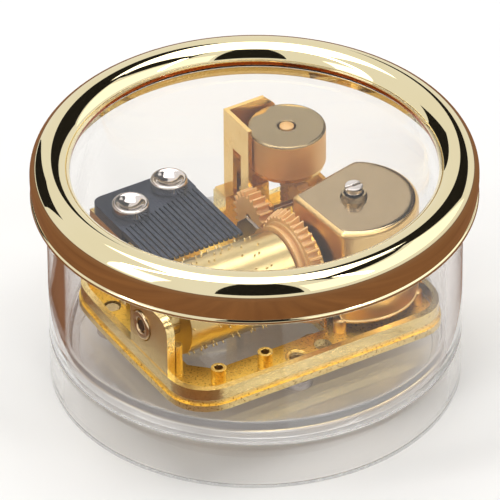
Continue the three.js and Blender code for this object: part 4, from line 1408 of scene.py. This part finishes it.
@dataclass
class GovernorWork:
    """Air governor, its bracket and the wheels that drive it."""

    p: float = 36.9
    q: float = 32.4
    cup_radius: float = 6.2
    cup_top: float = 33.9
    cup_foot: float = 27.6
    cup_wall: float = 0.5
    cup_round: float = 0.4
    cup_edge: float = 0.1
    round_steps: int = 6
    segments: int = 128
    bore: float = 1.45
    bore_edge: Point = (0.15, 0.12)

    def build(self) -> None:
        """Builds the cup and dresses the rest."""
        self.cup()
        dress(Finishes.sheet, 3, governor_bracket=0.1)
        dress(Finishes.steel, bracket_screw=0.1, intermediate_arbor=0.06)
        dress(Finishes.amber, governor_spindle=0.03, intermediate_wheel=0.06, worm_wheel=0.05)
        dress(Finishes.amber, governor_weight_back=0.08, governor_weight_front=0.08)

    def cup(self) -> None:
        """Pressed cup, open below."""
        edge, bend, top = self.cup_edge, self.cup_round, self.cup_top
        inner, under = self.cup_radius - self.cup_wall, top - self.cup_wall
        profile = [(self.bore, under), (inner - bend, under), (inner, under - bend), (inner, self.cup_foot)]
        profile += [(self.cup_radius - edge, self.cup_foot), (self.cup_radius, self.cup_foot + edge)]
        profile += arc(self.cup_radius - bend, top - bend, bend, 0, 90, self.round_steps)
        profile += [(self.bore + self.bore_edge[0], top), (self.bore, top - self.bore_edge[1])]
        form = Form().turned(profile, self.segments, PLAN.at(self.p, self.q))
        form.piece("cup_pressed", Finishes.cup, Body.CASE, "gold_sheet", ["governor_cup"])


# Studio


@dataclass(frozen=True)
class Lamp:
    """Soft rectangular lamp that faces the object; sizes in millimetres."""

    name: str
    place: Spot
    width: float
    height: float
    watts: float


STUDIO_LAMPS = (
    Lamp("overhead_softbox", (0.0, 170.0, 900.0), 660.0, 660.0, 4.2),
    Lamp("left_softbox", (-900.0, -500.0, 500.0), 500.0, 700.0, 1.6),
    Lamp("left_strip", (-420.0, -120.0, 700.0), 60.0, 500.0, 0.7),
    Lamp("right_strip", (520.0, -320.0, 620.0), 60.0, 500.0, 0.7),
)


class Tone(Enum):
    """Colour, darker shade and grain along each axis of a card."""

    FELT = ((0.015, 0.013, 0.012), (0.015, 0.013, 0.012), EVEN)
    BOARD = (srgb(146, 98, 62), srgb(96, 58, 34), (1.0, 0.08, 1.0))


@dataclass(frozen=True)
class Card:
    """Card that only metal reflects: outside in the open, through behind clear plastic.

    Each row of it has a distance and a height, in millimetres.
    """

    name: str
    start_deg: float
    end_deg: float
    rows: Sequence[Point]
    glow: float = 0.0
    tone: Tone = Tone.FELT
    columns: int = 24
    outside: bool = True
    through: bool = True


def bow(low_deg: float, high_deg: float, reach: float = 2400.0, rows: int = 12) -> list[Point]:
    """Rows of a curved card between two elevations."""
    return arc(0.0, 0.0, reach, low_deg, high_deg, rows)


TABLE_ROWS = ((1400.0, 0.5), (40.0, 0.5))
STUDIO_CARDS = (
    Card("front_felt", -109.0, -67.0, bow(14.0, 76.0), through=False),
    Card("right_paper", -64.0, 34.0, bow(14.0, 52.0), 1.5),
    Card("right_felt", -40.0, 40.0, bow(56.0, 76.0)),
    Card("back_right_felt", 38.0, 86.0, bow(24.0, 58.0)),
    Card("back_left_felt", 118.0, 150.0, bow(3.0, 34.0)),
    Card("table_card_round", 0.0, 360.0, TABLE_ROWS, 0.0, Tone.BOARD, 64, through=False),
    Card("table_card_left", 150.0, 282.0, TABLE_ROWS, 0.0, Tone.BOARD, 64, outside=False),
)


@dataclass
class Studio:
    """Camera, lamps, floor, cards and the pale surroundings."""

    focal_mm: float = 603.74
    sensor_mm: float = 36.0
    clip: Point = (0.05, 30.0)
    distance: float = 1312.5
    elevation_deg: float = 35.86
    roll_deg: float = -0.43
    target: Spot = (-0.78, 0.0, 22.2)
    pale: float = 0.93
    fill: float = 0.55
    floor_radius: float = 4000.0
    floor_per_mm: float = 0.02
    floor_roughness: float = 0.9
    paper_per_mm: float = 0.12
    paper_glow: Colour = (1.0, 0.99, 0.96)

    def build(self) -> None:
        """Sets up everything round the object."""
        self.camera()
        self.floor()
        self.surroundings()
        for lamp in STUDIO_LAMPS:
            self.lamp(lamp)
        for card in STUDIO_CARDS:
            self.card(card)

    def camera(self) -> None:
        """Camera at the photograph's angle."""
        elevation = math.radians(self.elevation_deg)
        roll = math.radians(self.roll_deg)
        right = Vector((1.0, 0.0, 0.0))
        up = Vector((0.0, math.sin(elevation), math.cos(elevation)))
        back = Vector((0.0, -math.cos(elevation), math.sin(elevation)))
        across = right * math.cos(roll) + up * math.sin(roll)
        above = up * math.cos(roll) - right * math.sin(roll)
        data = bpy.data.cameras.new("camera")
        data.lens = self.focal_mm
        data.sensor_width = self.sensor_mm
        data.clip_start, data.clip_end = self.clip
        camera = bpy.data.objects.new("camera", data)
        camera.matrix_world = Matrix((across, above, back)).transposed().to_4x4()
        camera.location = (Vector(self.target) + back * self.distance) * MM
        bpy.context.scene.collection.objects.link(camera)
        bpy.context.scene.camera = camera

    def floor(self) -> None:
        """Pale plain floor that takes the object's shadow."""
        material, graph = new_material("floor_paper")
        tone = graph.mixed(graph.noise(self.floor_per_mm, 2.0), srgb(246, 245, 243), srgb(243, 242, 240))
        graph.close(graph.principled({"Base Color": tone, "Roughness": self.floor_roughness}))
        mesh = bmesh.new()
        bmesh.ops.create_circle(mesh, cap_ends=True, segments=96, radius=self.floor_radius * MM)
        show_mesh("floor", mesh, material)

    def surroundings(self) -> None:
        """Soft fill light, and a pale background for what looks straight at it."""
        world = bpy.data.worlds.new("surroundings")
        bpy.context.scene.world = world
        world.use_nodes = True
        graph = ShaderGraph(world.node_tree)
        path = graph.node("ShaderNodeLightPath").outputs
        rays = [Signal(graph, path[f"Is {kind} Ray"]) for kind in ("Camera", "Glossy", "Transmission")]
        strength = graph.spread(rays[0] + rays[1] + rays[2], self.fill, self.pale)
        shader = graph.node("ShaderNodeBackground", None, {"Color": EVEN, "Strength": strength})
        graph.node("ShaderNodeOutputWorld", None, {"Surface": shader.outputs[0]})

    def lamp(self, lamp: Lamp) -> None:
        """Hangs up a lamp.

        Args:
            lamp: Where it hangs, and its size and power.
        """
        data = bpy.data.lights.new(lamp.name, "AREA")
        data.shape = "RECTANGLE"
        data.size, data.size_y = lamp.width * MM, lamp.height * MM
        data.energy = lamp.watts
        shown = bpy.data.objects.new(lamp.name, data)
        shown.location = Vector(lamp.place) * MM
        shown.rotation_mode = "QUATERNION"
        shown.rotation_quaternion = (Vector(lamp.place) - Vector(self.target)).to_track_quat("Z", "Y")
        bpy.context.scene.collection.objects.link(shown)

    def card(self, card: Card) -> None:
        """Puts up a card.

        Args:
            card: Where it stands and how it looks.
        """
        mesh = bmesh.new()
        lines = []
        for radius, height in card.rows:
            line = level(arc(0.0, 0.0, radius, card.start_deg, card.end_deg, card.columns), height)
            lines.append([mesh.verts.new(Vector(spot) * MM) for spot in line])
        for lower, upper in zip(lines, lines[1:]):
            for column in range(card.columns):
                mesh.faces.new((lower[column], lower[column + 1], upper[column + 1], upper[column]))
        piece = show_mesh(card.name, mesh, self.paper(card))
        piece.visible_camera = False
        piece.visible_diffuse = False
        piece.visible_shadow = False
        piece.visible_glossy = card.outside
        piece.visible_transmission = card.through

    def paper(self, card: Card) -> bpy.types.Material:
        """Makes a card's material, which is clear to every ray that no surface has mirrored.

        Args:
            card: The card.

        Returns:
            The material.
        """
        material, graph = new_material(f"{card.name}_paper")
        colour, shade, grain = card.tone.value
        shader = graph.principled(
            {
                "Base Color": graph.mixed(graph.noise(self.paper_per_mm, 4.0, grain), colour, shade),
                "Roughness": 1.0,
                "Emission Color": self.paper_glow,
                "Emission Strength": card.glow,
            },
        )
        mirrored = Signal(graph, graph.node("ShaderNodeLightPath").outputs["Glossy Depth"]) > 0.5
        clear = graph.node("ShaderNodeBsdfTransparent")
        sides = {0: mirrored, 1: clear.outputs[0], 2: shader.outputs[0]}
        graph.close(graph.node("ShaderNodeMixShader", None, sides))
        return material


def main() -> None:
    """Builds the scene piece by piece."""
    logging.basicConfig(level=logging.INFO, format="%(name)s: %(message)s")
    bpy.context.scene.view_settings.view_transform = "Standard"
    Studio().build()
    ClearCase().build()
    PlatedRing().build()
    Bedplate().build()
    Comb().build()
    Cylinder().build()
    SpringHousing().build()
    GovernorWork().build()


if __name__ == "__main__":
    main()
